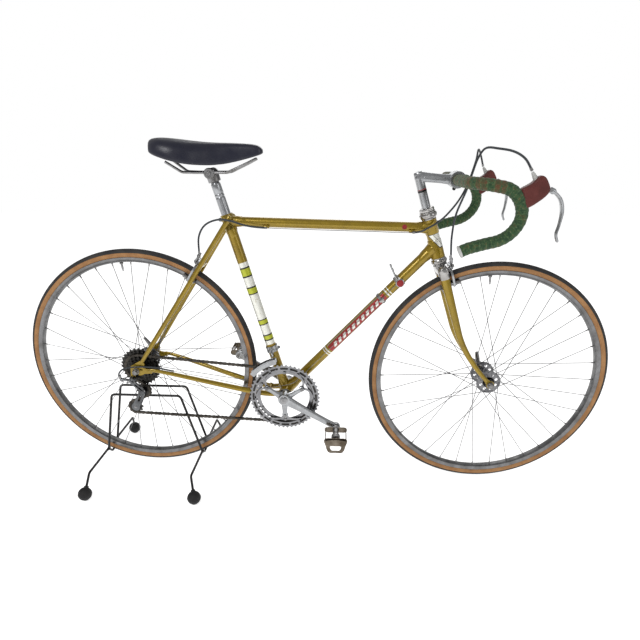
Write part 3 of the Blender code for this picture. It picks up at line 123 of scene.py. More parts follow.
REAR = middle("rear_tyre")
FRONT = middle("front_tyre")
BB = middle("bottom_bracket_shell")
SEAT_UP = side_vector(math.pi - math.radians(73.8))
STEER_UP = side_vector(math.pi - math.radians(71.5))
STEER_AHEAD = Vector((STEER_UP.z, 0, -STEER_UP.x))
HEAD_FOOT = FRONT - STEER_AHEAD * RAKE + STEER_UP * FORK_LENGTH
HEAD_TOP = HEAD_FOOT + STEER_UP * HEAD_TUBE_LENGTH
CROWN = HEAD_FOOT - STEER_UP * CROWN_DROP
SEAT_TOP = BB + SEAT_UP * SEAT_TUBE_LENGTH
SEAT_LUG = SEAT_TOP - SEAT_UP * 0.018
TOP_TUBE_END = HEAD_TOP - STEER_UP * 0.0225
DOWN_TUBE_END = HEAD_FOOT + STEER_UP * 0.031
DOWN_ALONG = (DOWN_TUBE_END - BB).normalized()
SHIFTERS = BB + DOWN_ALONG * 0.462
STAY_UP = (SEAT_LUG - REAR).normalized()
STAY_BACK = Vector((-STAY_UP.z, 0, STAY_UP.x))
BRIDGE = REAR + STAY_UP * (TYRE_RADIUS + 0.0195)
STEM_LEVEL = HEAD_TOP + STEER_UP * 0.1095
BAR_CENTRE = STEM_LEVEL + Vector((0.094, 0, -0.0075))
SEAT_HEAD = SEAT_TOP + SEAT_UP * 0.104
PULLEYS = (REAR + Vector((0.003, 0, -0.073)), REAR + Vector((-0.027, 0, -0.127)))
HANGER = REAR + Vector((-0.0115, 0, -0.0235))
CRANK_OUT = side_vector(math.radians(-28.2))


def pitch_radius(teeth):
    return LINK / (2 * math.sin(math.pi / teeth))


def hood_point(side):
    return BAR_CENTRE + Vector((0.153, side * BAR_HALF_WIDTH, -0.013))


# Materials ------------------------------------------------------------------------------

class Nodes:
    """Builds one Principled material out of object-space patterns."""

    def __init__(self, name):
        self.material = bpy.data.materials.new(name)
        self.material.use_nodes = True
        self.tree = self.material.node_tree
        self.shader = self.tree.nodes["Principled BSDF"]
        self.place = self.add("ShaderNodeTexCoord").outputs["Object"]

    def add(self, kind, **settings):
        node = self.tree.nodes.new(kind)
        for key, value in settings.items():
            setattr(node, key, value)
        return node

    def link(self, source, target):
        self.tree.links.new(source, target)

    def put(self, socket, value):
        if isinstance(value, bpy.types.NodeSocket):
            self.link(value, socket)
        else:
            socket.default_value = value

    def math(self, operation, a, b=0.0):
        node = self.add("ShaderNodeMath", operation=operation)
        self.put(node.inputs[0], a)
        self.put(node.inputs[1], b)
        return node.outputs[0]

    def dot(self, direction, origin):
        """Distance along direction from origin, in metres."""
        shift = self.add("ShaderNodeVectorMath", operation="SUBTRACT")
        self.link(self.place, shift.inputs[0])
        shift.inputs[1].default_value = origin
        node = self.add("ShaderNodeVectorMath", operation="DOT_PRODUCT")
        self.link(shift.outputs[0], node.inputs[0])
        node.inputs[1].default_value = direction
        return node.outputs["Value"]

    def noise(self, scale, detail=3.0, rough=0.55, stretch=None):
        node = self.add("ShaderNodeTexNoise")
        node.inputs["Scale"].default_value = scale
        node.inputs["Detail"].default_value = detail
        node.inputs["Roughness"].default_value = rough
        place = self.place
        if stretch:
            mapping = self.add("ShaderNodeMapping")
            mapping.inputs["Scale"].default_value = stretch
            self.link(place, mapping.inputs["Vector"])
            place = mapping.outputs[0]
        self.link(place, node.inputs["Vector"])
        return node.outputs[0]

    def ramp(self, value, *stops, hard=False):
        """stops are (position, colour or grey)."""
        node = self.add("ShaderNodeValToRGB")
        elements = node.color_ramp.elements
        node.color_ramp.interpolation = "CONSTANT" if hard else "LINEAR"
        while len(elements) > 1:
            elements.remove(elements[-1])
        for i, (position, colour) in enumerate(stops):
            element = elements[0] if i == 0 else elements.new(position)
            element.position = position
            grey = not isinstance(colour, tuple)
            element.color = (colour, colour, colour, 1) if grey else (*colour, 1)
        self.link(value, node.inputs[0])
        return node.outputs[0]

    def between(self, value, low, high):
        """1 where value lies from low to high, else 0."""
        return self.math("MULTIPLY", self.math("GREATER_THAN", value, low),
                         self.math("LESS_THAN", value, high))

    def mix(self, share, a, b):
        node = self.add("ShaderNodeMix", data_type="RGBA")
        self.put(node.inputs[0], share)
        self.put(node.inputs[6], a if not isinstance(a, tuple) else (*a, 1))
        self.put(node.inputs[7], b if not isinstance(b, tuple) else (*b, 1))
        return node.outputs[2]

    def bump(self, height, distance, strength=1.0, under=None):
        node = self.add("ShaderNodeBump")
        node.inputs["Strength"].default_value = strength
        node.inputs["Distance"].default_value = distance
        self.link(height, node.inputs["Height"])
        if under:
            self.link(under, node.inputs["Normal"])
        return node.outputs[0]

    def finish(self, colour, rough, metallic=0.0, normal=None, **fixed):
        base = (*colour, 1) if isinstance(colour, tuple) else colour
        self.put(self.shader.inputs["Base Color"], base)
        self.put(self.shader.inputs["Roughness"], rough)
        self.put(self.shader.inputs["Metallic"], metallic)
        if normal:
            self.link(normal, self.shader.inputs["Normal"])
        if metallic == 0.0:
            self.shader.inputs["Specular IOR Level"].default_value = 0.25
        for key, value in fixed.items():
            self.shader.inputs[key.replace("_", " ")].default_value = value
        return self.material


def metal(name, light, dark, rough, scratch=(260, 260, 260), bump=0.00006, metallic=1.0, grime=0.35,
          grime_colour=None):
    """Bare metal: cloudy oxide, fine scratches and grime in patches."""
    n = Nodes(name)
    cloud = n.noise(38, 4)
    fine = n.noise(1.0, 4, 0.7, stretch=scratch)
    colour = n.mix(n.ramp(cloud, (0.35, 0.0), (0.68, 1.0)), light, dark)
    patches = n.ramp(n.noise(60, 5, 0.65), (0.54, 0.0), (0.78, grime))
    colour = n.mix(patches, colour, grime_colour or tuple(c * 0.35 for c in dark))
    roughness = n.math("ADD", n.ramp(fine, (0.3, rough * 0.75), (0.7, rough * 1.3)),
                       n.math("MULTIPLY", patches, 0.3))
    return n.finish(colour, roughness, metallic, n.bump(fine, bump, 0.5))


def paint_colour(n):
    """Flaked olive-gold enamel with faded clouds, dust and small dark chips."""
    flake = n.noise(900, 2, 0.6)
    cloud = n.noise(14, 3)
    colour = n.mix(n.ramp(cloud, (0.35, 0.0), (0.7, 1.0)), (0.285, 0.188, 0.005), (0.215, 0.138, 0.003))
    colour = n.mix(n.ramp(flake, (0.45, 0.0), (0.72, 0.22)), colour, (0.46, 0.34, 0.04))
    soiled = n.ramp(n.noise(48, 5, 0.7), (0.52, 0.0), (0.74, 0.40))
    colour = n.mix(soiled, colour, (0.110, 0.072, 0.008))
    chips = n.ramp(n.noise(150, 4, 0.6), (0.735, 0.0), (0.76, 1.0))
    return n.mix(chips, colour, (0.055, 0.040, 0.022)), chips


def paint_finish(n, colour, chips):
    haze = n.ramp(n.noise(60, 5, 0.7), (0.35, 0.22), (0.75, 0.36))
    rough = n.math("ADD", haze, n.math("MULTIPLY", chips, 0.3))
    normal = n.bump(chips, -0.00008, 0.35)
    return n.finish(colour, rough, 0.55, normal, Coat_Weight=0.45, Coat_Roughness=0.12)


def paint(name):
    n = Nodes(name)
    colour, chips = paint_colour(n)
    return paint_finish(n, colour, chips)


WHITE = (0.72, 0.72, 0.66)
BLACK = (0.012, 0.012, 0.012)
CHARTREUSE = (0.400, 0.430, 0.020)
CRIMSON = (0.30, 0.018, 0.022)


def seat_tube_look():
    """Gold tube with a ladder of white bands and black-edged chartreuse windows."""
    n = Nodes("seat_tube_bands")
    colour, chips = paint_colour(n)
    along = n.dot(SEAT_UP, BB)
    bands = [(0.156, WHITE), (0.168, BLACK), (0.1715, CHARTREUSE), (0.1835, BLACK), (0.187, WHITE),
             (0.2165, BLACK), (0.2195, CHARTREUSE), (0.2305, BLACK), (0.2335, WHITE), (0.3085, BLACK),
             (0.3120, CHARTREUSE), (0.3275, BLACK), (0.3310, WHITE), (0.3590, BLACK),
             (0.3625, CHARTREUSE), (0.3835, BLACK), (0.387, WHITE)]
    low, high = 0.15, 0.41
    share = n.math("DIVIDE", n.math("SUBTRACT", along, low), high - low)
    stops = [(0.0, WHITE)] + [((s - low) / (high - low), c) for s, c in bands[1:]]
    film = n.ramp(share, *stops, hard=True)
    worn = n.ramp(n.noise(120, 5, 0.7), (0.60, 1.0), (0.68, 0.25))
    inside = n.math("MULTIPLY", n.between(along, 0.156, 0.401), worn)
    return paint_finish(n, n.mix(inside, colour, film), chips)


def down_tube_look():
    """Gold tube with a crimson side panel of plain slanted bars, pin lines and end rings."""
    n = Nodes("down_tube_panel")
    colour, chips = paint_colour(n)
    along = n.dot(DOWN_ALONG, BB)
    high = n.dot(Vector((-DOWN_ALONG.z, 0, DOWN_ALONG.x)), BB)
    from_axis = n.math("ABSOLUTE", high)
    length = n.between(along, 0.190, 0.409)
    panel = n.math("MULTIPLY", length, n.math("LESS_THAN", from_axis, 0.0098))
    pin = n.math("MULTIPLY", length, n.between(from_axis, 0.0108, 0.0122))
    slope = n.math("ADD", along, n.math("MULTIPLY", high, -0.7))
    bars = n.math("GREATER_THAN", n.math("FRACT", n.math("DIVIDE", slope, 0.0182)), 0.46)
    bars = n.math("MULTIPLY", bars, n.math("LESS_THAN", from_axis, 0.0058))
    bars = n.math("MULTIPLY", bars, n.between(along, 0.204, 0.395))
    rings = n.math("ADD", n.between(along, 0.1805, 0.1845), n.between(along, 0.4150, 0.4190))
    rings = n.math("ADD", rings, n.between(along, 0.1735, 0.1762))
    rings = n.math("ADD", rings, n.between(along, 0.4240, 0.4267))
    worn = n.ramp(n.noise(130, 5, 0.7), (0.60, 1.0), (0.70, 0.4))
    colour = n.mix(n.math("MULTIPLY", panel, worn), colour, CRIMSON)
    colour = n.mix(n.math("MULTIPLY", bars, worn), colour, WHITE)
    colour = n.mix(n.math("MULTIPLY", pin, worn), colour, (0.30, 0.31, 0.30))
    colour = n.mix(n.math("MULTIPLY", rings, worn), colour, WHITE)
    return paint_finish(n, colour, chips)


def head_tube_look():
    """Gold tube with a cream pennant outlined in black round its front."""
    n = Nodes("head_tube_band")
    colour, chips = paint_colour(n)
    along = n.dot(STEER_UP, HEAD_FOOT)
    ahead = n.dot(STEER_AHEAD, HEAD_FOOT)
    lean = n.math("SUBTRACT", ahead, n.math("MULTIPLY", n.math("SUBTRACT", 0.064, along), 0.55))
    edge = n.math("MULTIPLY", n.between(along, 0.0260, 0.0655), n.math("GREATER_THAN", lean, -0.0135))
    heart = n.math("MULTIPLY", n.between(along, 0.0285, 0.0640), n.math("GREATER_THAN", lean, -0.0118))
    colour = n.mix(edge, colour, BLACK)
    colour = n.mix(heart, colour, WHITE)
    colour = n.mix(n.math("MULTIPLY", heart, n.between(lean, -0.0020, -0.0008)), colour, BLACK)
    return paint_finish(n, colour, chips)


def rubber(name, light, dark, rough, scale=220, depth=0.0002, dust=0.25):
    """A dull soft plastic or rubber, cloudy and dusted."""
    n = Nodes(name)
    grain = n.noise(scale, 4, 0.65)
    colour = n.mix(n.ramp(n.noise(26, 4), (0.35, 0.0), (0.7, 1.0)), light, dark)
    pale = n.ramp(n.noise(70, 5, 0.7), (0.55, 0.0), (0.75, dust))
    colour = n.mix(pale, colour, tuple(min(1.0, c * 2.2 + 0.04) for c in light))
    return n.finish(colour, n.ramp(grain, (0.3, rough - 0.08), (0.7, rough + 0.1)), 0.0,
                    n.bump(grain, depth, 0.5))


def tread_look():
    """Black rubber with a fine file pattern, cloudy in tone."""
    n = Nodes("tyre_tread")
    wave = n.add("ShaderNodeTexWave", wave_type="BANDS", bands_direction="Y")
    n.link(n.place, wave.inputs["Vector"])
    wave.inputs["Scale"].default_value = 190
    wave.inputs["Distortion"].default_value = 0.6
    grain = n.noise(420, 3, 0.6)
    colour = n.mix(n.ramp(n.noise(34, 4), (0.35, 0.0), (0.7, 1.0)), (0.020, 0.020, 0.021),
                   (0.038, 0.036, 0.034))
    normal = n.bump(wave.outputs[1], 0.0003, 0.5, n.bump(grain, 0.0001, 0.4))
    return n.finish(colour, n.ramp(grain, (0.3, 0.62), (0.7, 0.82)), 0.0, normal)


def sidewall_look():
    """Tan skin over a diagonal cord casing, stained darker in patches."""
    n = Nodes("tyre_sidewall")
    weave = n.noise(520, 2, 0.5)
    colour = n.mix(n.ramp(n.noise(30, 5, 0.6), (0.35, 0.0), (0.7, 1.0)), (0.36, 0.190, 0.080),
                   (0.25, 0.120, 0.048))
    stain = n.ramp(n.noise(85, 5, 0.7), (0.58, 0.0), (0.76, 0.7))
    colour = n.mix(stain, colour, (0.12, 0.075, 0.035))
    return n.finish(colour, n.ramp(weave, (0.3, 0.66), (0.7, 0.85)), 0.0, n.bump(weave, 0.0002, 0.6))


def tape_look(name, deep, light, stain):
    """Cloth bar tape, mottled and stained, with a fine weave."""
    n = Nodes(name)
    blot = n.noise(130, 3, 0.6)
    colour = n.ramp(blot, (0.36, deep), (0.55, light), (0.63, stain), (0.70, deep))
    weave = n.add("ShaderNodeTexVoronoi")
    weave.inputs["Scale"].default_value = 900
    n.link(n.place, weave.inputs["Vector"])
    pale = n.ramp(n.noise(260, 3), (0.60, 0.0), (0.72, 0.45))
    colour = n.mix(pale, colour, (0.16, 0.19, 0.12))
    return n.finish(colour, n.ramp(blot, (0.3, 0.78), (0.7, 0.92)), 0.0,
                    n.bump(weave.outputs[0], 0.0004, 0.5), Sheen_Weight=0.15)


def saddle_look():
    """Smooth dark navy vinyl with a pebble grain, grey scuffs and patchy gloss."""
    n = Nodes("saddle_cover")
    cells = n.add("ShaderNodeTexVoronoi", feature="SMOOTH_F1")
    cells.inputs["Scale"].default_value = 700
    n.link(n.place, cells.inputs["Vector"])
    colour = n.mix(n.ramp(n.noise(22, 4), (0.35, 0.0), (0.7, 1.0)), (0.010, 0.011, 0.022),
                   (0.020, 0.020, 0.030))
    scuff = n.ramp(n.noise(110, 5, 0.7), (0.62, 0.0), (0.75, 0.5))
    colour = n.mix(scuff, colour, (0.07, 0.068, 0.070))
    return n.finish(colour, n.ramp(n.noise(45, 4), (0.35, 0.26), (0.7, 0.44)), 0.0,
                    n.bump(cells.outputs[0], 0.00025, 0.35), Coat_Weight=0.15, Coat_Roughness=0.3)


def make_looks():
    pale = (0.38, 0.39, 0.40)
    return {
        "paint": paint("gold_enamel"),
        "seat_tube": seat_tube_look(),
        "down_tube": down_tube_look(),
        "head_tube": head_tube_look(),
        "alloy": metal("alloy", pale, (0.29, 0.295, 0.305), 0.26, grime=0.22),
        "rim": metal("rim_alloy", (0.215, 0.215, 0.22), (0.135, 0.132, 0.130), 0.28, (420, 60, 420)),
        "rim_dark": metal("rim_bed", (0.20, 0.20, 0.20), (0.10, 0.10, 0.10), 0.45),
        "ring": metal("ring_alloy", (0.27, 0.27, 0.28), (0.18, 0.18, 0.185), 0.25, (120, 900, 120),
                      grime=0.25),
        "steel": metal("dull_steel", (0.32, 0.32, 0.325), (0.17, 0.165, 0.16), 0.32, grime=0.5),
        "mech": metal("mech_alloy", (0.150, 0.155, 0.160), (0.075, 0.076, 0.080), 0.26, grime=0.5),
        "hub": metal("hub_shell", (0.26, 0.26, 0.27), (0.12, 0.12, 0.125), 0.38, grime=0.5),
        "spoke": metal("spoke_steel", (0.20, 0.20, 0.205), (0.10, 0.10, 0.105), 0.36),
        "chrome": metal("chrome", (0.44, 0.43, 0.42), (0.32, 0.31, 0.30), 0.14, grime=0.35,
                        grime_colour=(0.16, 0.11, 0.06)),
        "dark": metal("oiled_steel", (0.060, 0.058, 0.055), (0.024, 0.022, 0.020), 0.38, grime=0.7),
        "chain": metal("chain_steel", (0.085, 0.076, 0.066), (0.030, 0.027, 0.024), 0.40, grime=0.8),
        "bronze": metal("pedal_bronze", (0.21, 0.18, 0.145), (0.095, 0.076, 0.056), 0.38, grime=0.8,
                        grime_colour=(0.075, 0.050, 0.030)),
        "wire": metal("stand_enamel", (0.008, 0.008, 0.009), (0.014, 0.013, 0.013), 0.32, metallic=0.0,
                      grime=0.5, grime_colour=(0.085, 0.070, 0.058)),
        "tread": tread_look(),
        "sidewall": sidewall_look(),
        "rubber": rubber("black_rubber", (0.011, 0.011, 0.012), (0.018, 0.017, 0.017), 0.62, dust=0.12),
        "hood": rubber("hood_rubber", (0.100, 0.022, 0.018), (0.055, 0.013, 0.011), 0.48, dust=0.12),
        "boot": rubber("boot_rubber", (0.46, 0.46, 0.44), (0.32, 0.32, 0.31), 0.50, dust=0.1),
        "plug": rubber("plug_plastic", (0.50, 0.50, 0.49), (0.36, 0.36, 0.35), 0.42, 300, 0.0001, 0.1),
        "housing": rubber("cable_housing", (0.026, 0.031, 0.036), (0.042, 0.047, 0.052), 0.36, 600,
                          0.0001, 0.1),
        "crimson": rubber("crimson_plastic", (0.30, 0.022, 0.026), (0.18, 0.014, 0.018), 0.34, 300,
                          0.0001, 0.1),
        "tape": tape_look("bar_tape", (0.014, 0.040, 0.016), (0.034, 0.078, 0.030), (0.060, 0.058, 0.022)),
        # a lighter copy of the tape for each wrap's raised edge: a painted highlight
        "tape_lip_highlight": tape_look("bar_tape_lip_highlight", (0.028, 0.062, 0.024), (0.066, 0.110, 0.046),
                                (0.095, 0.085, 0.034)),
        "tape_worn": tape_look("bar_tape_worn", (0.040, 0.052, 0.020), (0.085, 0.064, 0.026),
                               (0.105, 0.034, 0.016)),
        "saddle": saddle_look(),
    }


LOOKS = make_looks()


# Mesh helpers ---------------------------------------------------------------------------

def quads(bm, loops, closed, mat, caps):
    pairs = list(zip(loops, loops[1:]))
    if closed:
        pairs.append((loops[-1], loops[0]))
    for first, second in pairs:
        count = max(len(first), len(second))
        for i in range(count):
            j = (i + 1) % count
            corners = [first[i % len(first)], first[j % len(first)],
                       second[j % len(second)], second[i % len(second)]]
            corners = list(dict.fromkeys(corners))
            if len(corners) > 2:
                bm.faces.new(corners).material_index = mat
    if caps and not closed:
        for loop in (loops[0], loops[-1]):
            if len(loop) > 2:
                bm.faces.new(loop).material_index = mat


def tube(bm, points, radius, sides=16, flat=1.0, across=ACROSS, closed=False, mat=0, shape=None,
         domed=False):
    """A bar along points. radius and flat are numbers or lists; shape(i, angle) scales a ring;
    domed adds two smaller rings at each end."""
    points = [Vector(p) for p in points]
    radii = list(radius) if isinstance(radius, (list, tuple)) else [radius] * len(points)
    flats = list(flat) if isinstance(flat, (list, tuple)) else [flat] * len(points)
    if domed:
        first = (points[0] - points[1]).normalized()
        last = (points[-1] - points[-2]).normalized()
        for nth, on, shrink in ((0, 0.3, 0.82), (1, 0.16, 0.55)):
            back, end = radii[nth], radii[-1 - nth]
            points.insert(0, points[0] + first * back * on)
            radii.insert(0, back * shrink)
            flats.insert(0, flats[0])
            points.append(points[-1] + last * end * on)
            radii.append(end * shrink)
            flats.append(flats[-1])
    loops, last_wide = [], None
    for i, point in enumerate(points):
        before = points[i - 1] if i or closed else point
        after = points[(i + 1) % len(points)] if i + 1 < len(points) or closed else point
        along = (after - before).normalized()
        wide = across if last_wide is None else last_wide
        wide = (wide - along * wide.dot(along)).normalized()
        last_wide = wide
        thin = along.cross(wide) * flats[i]
        ring = []
        for k in range(sides):
            a = 2 * math.pi * (k + 0.5) / sides
            r = radii[i] * (shape(i, a) if shape else 1.0)
            ring.append(bm.verts.new(point + (wide * math.cos(a) + thin * math.sin(a)) * r))
        loops.append(ring)
    quads(bm, loops, closed, mat, True)


def spin(bm, profile, centre, axis, sides=48, mat=0, ring=False, mats=None):
    """A profile of (radius, distance along axis) turned round it. ring joins its ends."""
    axis = Vector(axis).normalized()
    wide = ACROSS if abs(axis.y) < 0.5 else AHEAD
    wide = (wide - axis * wide.dot(axis)).normalized()
    thin = axis.cross(wide)
    loops = []
    for radius, along in profile:
        base = Vector(centre) + axis * along
        if radius == 0:
            loops.append([bm.verts.new(base)])
            continue
        loops.append([bm.verts.new(base + (wide * math.cos(a) + thin * math.sin(a)) * radius)
                      for a in (2 * math.pi * k / sides for k in range(sides))])
    pairs = list(zip(loops, loops[1:])) + ([(loops[-1], loops[0])] if ring else [])
    for index, (first, second) in enumerate(pairs):
        quads(bm, [first, second], False, mats[index] if mats else mat, False)


def slab(bm, outlines, centre, across, up, near, far, mat=0):
    """Outlines of (across, up) pairs, the first the outer edge and the rest holes, made thick."""
    across, up = Vector(across), Vector(up)
    out = across.cross(up)
    flat = bmesh.new()
    edges = []
    order = {}
    for outline in outlines:
        row = [flat.verts.new((a, b, 0)) for a, b in outline]
        for vert in row:
            order[vert] = len(order)
        edges += [flat.edges.new((row[i], row[(i + 1) % len(row)])) for i in range(len(row))]
    bmesh.ops.triangle_fill(flat, use_beauty=True, edges=edges)
    sheets = []
    for depth in (near, far):
        sheets.append([bm.verts.new(centre + across * v.co.x + up * v.co.y + out * depth)
                       for v in order])
    for face in flat.faces:
        for sheet in sheets:
            bm.faces.new([sheet[order[v]] for v in face.verts]).material_index = mat
    start = 0
    for outline in outlines:
        count = len(outline)
        for i in range(count):
            j = (i + 1) % count
            bm.faces.new((sheets[0][start + i], sheets[0][start + j], sheets[1][start + j],
                          sheets[1][start + i])).material_index = mat
        start += count
    flat.free()


def flat_slab(bm, outlines, centre, y0, y1, mat=0):
    """A slab in the side view, from y0 to y1, with outlines of (ahead, up)."""
    slab(bm, outlines, centre, AHEAD, UP, -y1, -y0, mat)


def boxy(power):
    """A ring's shape between a circle, at power 2, and a square."""
    return lambda _, a: 1.0 / (abs(math.cos(a)) ** power + abs(math.sin(a)) ** power) ** (1 / power)


def circle(radius, count=24, centre=(0, 0), start=0.0):
    return [(centre[0] + radius * math.cos(start + 2 * math.pi * k / count),
             centre[1] + radius * math.sin(start + 2 * math.pi * k / count)) for k in range(count)]


def polar(radius, degrees):
    a = math.radians(degrees)
    return (radius * math.cos(a), radius * math.sin(a))


def curve_point(a, b, c, d, t):
    """The point a share t of the way from b to c, on a smooth curve that also heeds a and d."""
    return (b * 2 + (c - a) * t + (a * 2 - b * 5 + c * 4 - d) * t ** 2
            + (b * 3 - a - c * 3 + d) * t ** 3) * 0.5


def soft_loop(points, steps=4):
    """A smooth closed outline through the given corners."""
    out = []
    count = len(points)
    for i in range(count):
        a, b, c, d = (Vector(points[(i + k) % count]) for k in (-1, 0, 1, 2))
        out += [tuple(curve_point(a, b, c, d, s / steps)) for s in range(steps)]
    return out


def smooth_path(points, spacing):
    """Points at this spacing on a smooth curve through the given ones."""
    points = [Vector(p) for p in points]
    ends = [points[0] * 2 - points[1], *points, points[-1] * 2 - points[-2]]
    fine = []
    for a, b, c, d in zip(ends, ends[1:], ends[2:], ends[3:]):
        fine += [curve_point(a, b, c, d, i / 12) for i in range(12)]
    fine.append(points[-1])
    return spaced(fine, spacing, False)


def spaced(fine, spacing, closed):
    """The polyline walked at an even spacing."""
    if closed:
        fine = fine + [fine[0]]
    length = sum((q - p).length for p, q in zip(fine, fine[1:]))
    count = max(2, round(length / spacing))
    out, walked, target = [fine[0]], 0.0, length / count
    for p, q in zip(fine, fine[1:]):
        step = (q - p).length
        while walked + step >= target - 1e-9 and len(out) < count:
            out.append(p.lerp(q, (target - walked) / max(step, 1e-9)))
            target += length / count
        walked += step
    return out if closed else out + [fine[-1]]


def rounded(points, radius, steps=8):
    """The polyline with an arc of about this radius at each inner corner."""
    points = [Vector(p) for p in points]
    out = [points[0]]
    for before, corner, after in zip(points, points[1:], points[2:]):
        back = (before - corner).normalized()
        on = (after - corner).normalized()
        half = back.angle(on) / 2
        reach = min(radius / math.tan(half), (before - corner).length * 0.48,
                    (after - corner).length * 0.48)
        start, end = corner + back * reach, corner + on * reach
        for i in range(steps + 1):
            t = i / steps
            out.append(start * (1 - t) ** 2 + corner * 2 * t * (1 - t) + end * t ** 2)
    return out + [points[-1]]


def mirrored(points, side):
    return [Vector((p[0], p[1] * side, p[2])) for p in points]


def make(name, bm, looks, bevel=0.0, angle=38, smooth=0):
    bmesh.ops.recalc_face_normals(bm, faces=bm.faces)
    mesh = bpy.data.meshes.new(name)
    bm.to_mesh(mesh)
    bm.free()
    mesh.shade_smooth()
    mesh.set_sharp_from_angle(angle=math.radians(angle))
    obj = bpy.data.objects.new(name, mesh)
    bpy.context.scene.collection.objects.link(obj)
    for look in looks:
        mesh.materials.append(LOOKS[look])
    if bevel:
        edge = obj.modifiers.new("soft edges", "BEVEL")
        edge.width = bevel
        edge.segments = 2
        edge.limit_method = "ANGLE"
        edge.angle_limit = math.radians(40)
        edge.harden_normals = True
    if smooth:
        more = obj.modifiers.new("smooth", "SUBSURF")
        more.levels = smooth
        more.render_levels = smooth
    return obj


def piece(name, bm, body, looks, *nodes, **more):
    """A finished piece that rides on a body and stands for its CAD nodes."""
    obj = make(name, bm, looks, **more)
    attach(obj, body)
    if nodes:
        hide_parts(*nodes)
    return obj


def bolt(bm, place, axis, radius, height, mat=0, socket=False):
    """A washer, a hexagon head and its crown."""
    axis = Vector(axis).normalized()
    spin(bm, [(0, 0), (radius * 1.25, 0), (radius * 1.25, height * 0.22), (0, height * 0.22)],
         place, axis, 20, mat)
    base = Vector(place) + axis * height * 0.2
    sides = 20 if socket else 6
    top = height * 0.8
    profile = [(0, 0), (radius, 0), (radius, top * 0.85), (radius * 0.86, top)]
    profile += [(radius * 0.5, top), (radius * 0.5, top * 0.6), (0, top * 0.6)] if socket else [(0, top)]
    spin(bm, profile, base, axis, sides, mat)


# Stand ----------------------------------------------------------------------------------

WIRE_RADIUS = 0.0036
BALL_RADIUS = 0.0195
RAILS_AHEAD = (-0.145, 0.158)    # the cross rails, ahead of the rear axle
RAIL_Z = 0.072
LOOP_TOP_Z = 0.269


def cradle_height(ahead):
    """The height of a cross wire that just clears the tyre above it, this far ahead of the axle."""
    reach = TYRE_RADIUS + WIRE_RADIUS + GAP
    return REAR.z - math.sqrt(reach ** 2 - ahead ** 2)


def rail_path(ahead):
    splay = math.copysign(0.011, ahead)
    half = [(REAR.x + ahead + splay, 0.187, BALL_RADIUS), (REAR.x + ahead, 0.162, 0.076),
            (REAR.x + ahead, 0.0345, 0.076), (REAR.x + ahead, TYRE_WIDTH / 2, cradle_height(ahead))]
    return rounded(mirrored(half, -1) + mirrored(half[::-1], 1), 0.010, 8)


def build_stand():
    bm = bmesh.new()
    for ahead in RAILS_AHEAD:
        tube(bm, rail_path(ahead), WIRE_RADIUS, 14, across=AHEAD)
    for side in (-1, 1):
        y = side * 0.0325
        points = [(REAR.x + RAILS_AHEAD[0], y, RAIL_Z), (REAR.x - 0.104, y, LOOP_TOP_Z),
                  (REAR.x + 0.107, y, LOOP_TOP_Z), (REAR.x + RAILS_AHEAD[1], y, RAIL_Z)]
        tube(bm, rounded(points, 0.014, 10), WIRE_RADIUS, 14)
        for ahead in RAILS_AHEAD:
            weld = Vector((REAR.x + ahead, y, 0.0745))
            tube(bm, [weld - ACROSS * 0.007, weld - ACROSS * 0.003, weld + ACROSS * 0.003,
                      weld + ACROSS * 0.007], [0.0036, 0.0049, 0.0047, 0.0036], 14, across=AHEAD)
    piece("stand_wires", bm, "stand", ["wire"], "stand_frame")
    for end in ("rear", "front"):
        for label, side in SIDES:
            node = f"stand_foot_{end}_{label}"
            low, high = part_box(node)
            x, y = (low[0] + high[0]) / 2, (low[1] + high[1]) / 2
            bm = bmesh.new()
            profile = [(0, 0), (0.0072, 0.0), (0.0085, 0.0006)]
            profile += [(BALL_RADIUS * math.sin(a), BALL_RADIUS * (1 - math.cos(a)))
                        for a in (math.radians(d) for d in range(31, 88, 8))]
            for z, r in ((0.0185, 0.01948), (0.0190, 0.01985), (0.0200, 0.01985), (0.0205, 0.01948)):
                profile.append((r, z))
            profile += [(BALL_RADIUS * math.sin(a), BALL_RADIUS * (1 - math.cos(a)))
                        for a in (math.radians(d) for d in range(96, 176, 8))]
            profile.append((0, 2 * BALL_RADIUS))
            spin(bm, profile, (x, y, 0), UP, 36)
            inward = Vector((-math.copysign(0.011, x - REAR.x), -side * 0.025, 0.0565)).normalized()
            collar = Vector((x, y, BALL_RADIUS)) + inward * (BALL_RADIUS - 0.0022)
            spin(bm, [(0.0042, 0), (0.0072, 0), (0.0066, 0.0044), (0.0056, 0.0056), (0.0042, 0.0056)],
                 collar, inward, 24, ring=True)
            piece(f"ball_foot_{end}_{label}", bm, "stand", ["rubber"], node)


# Wheels ---------------------------------------------------------------------------------

def build_tyre(end, axle, body):
    """A tan casing with a bead line, under a ribbed black tread."""
    bm = bmesh.new()
    half = TYRE_WIDTH / 2
    centre = TYRE_RADIUS - half - 0.0004
    seat = RIM_RADIUS - 0.0006
    side_points = [(seat, -RIM_WIDTH * 0.40), (seat + 0.0010, -RIM_WIDTH * 0.445),
                   (seat + 0.0026, -RIM_WIDTH * 0.452), (seat + 0.0031, -RIM_WIDTH * 0.47)]
    for degrees in range(-24, 13, 6):
        a = math.radians(degrees)
        side_points.append((centre + half * math.sin(a), -half * math.cos(a)))
    tread = []
    for degrees in range(12, 91, 6):
        a = math.radians(degrees)
        rib = 0.0007 if degrees < 72 else (0.0001 if degrees < 78 else 0.0005)
        tread.append((centre + (half + rib) * math.sin(a), -(half + rib * 0.5) * math.cos(a)))
    right = side_points + tread
    left = [(r, -y) for r, y in right[::-1]]
    profile = right + left[1:]
    rubber_from = len(side_points) - 1
    mats = [1 if rubber_from <= i < len(profile) - 1 - rubber_from else 0
            for i in range(len(profile))]
    spin(bm, profile, axle, ACROSS, 160, ring=True, mats=mats)
    piece(f"{end}_tyre_casing", bm, body, ["sidewall", "tread"], f"{end}_tyre", angle=50)


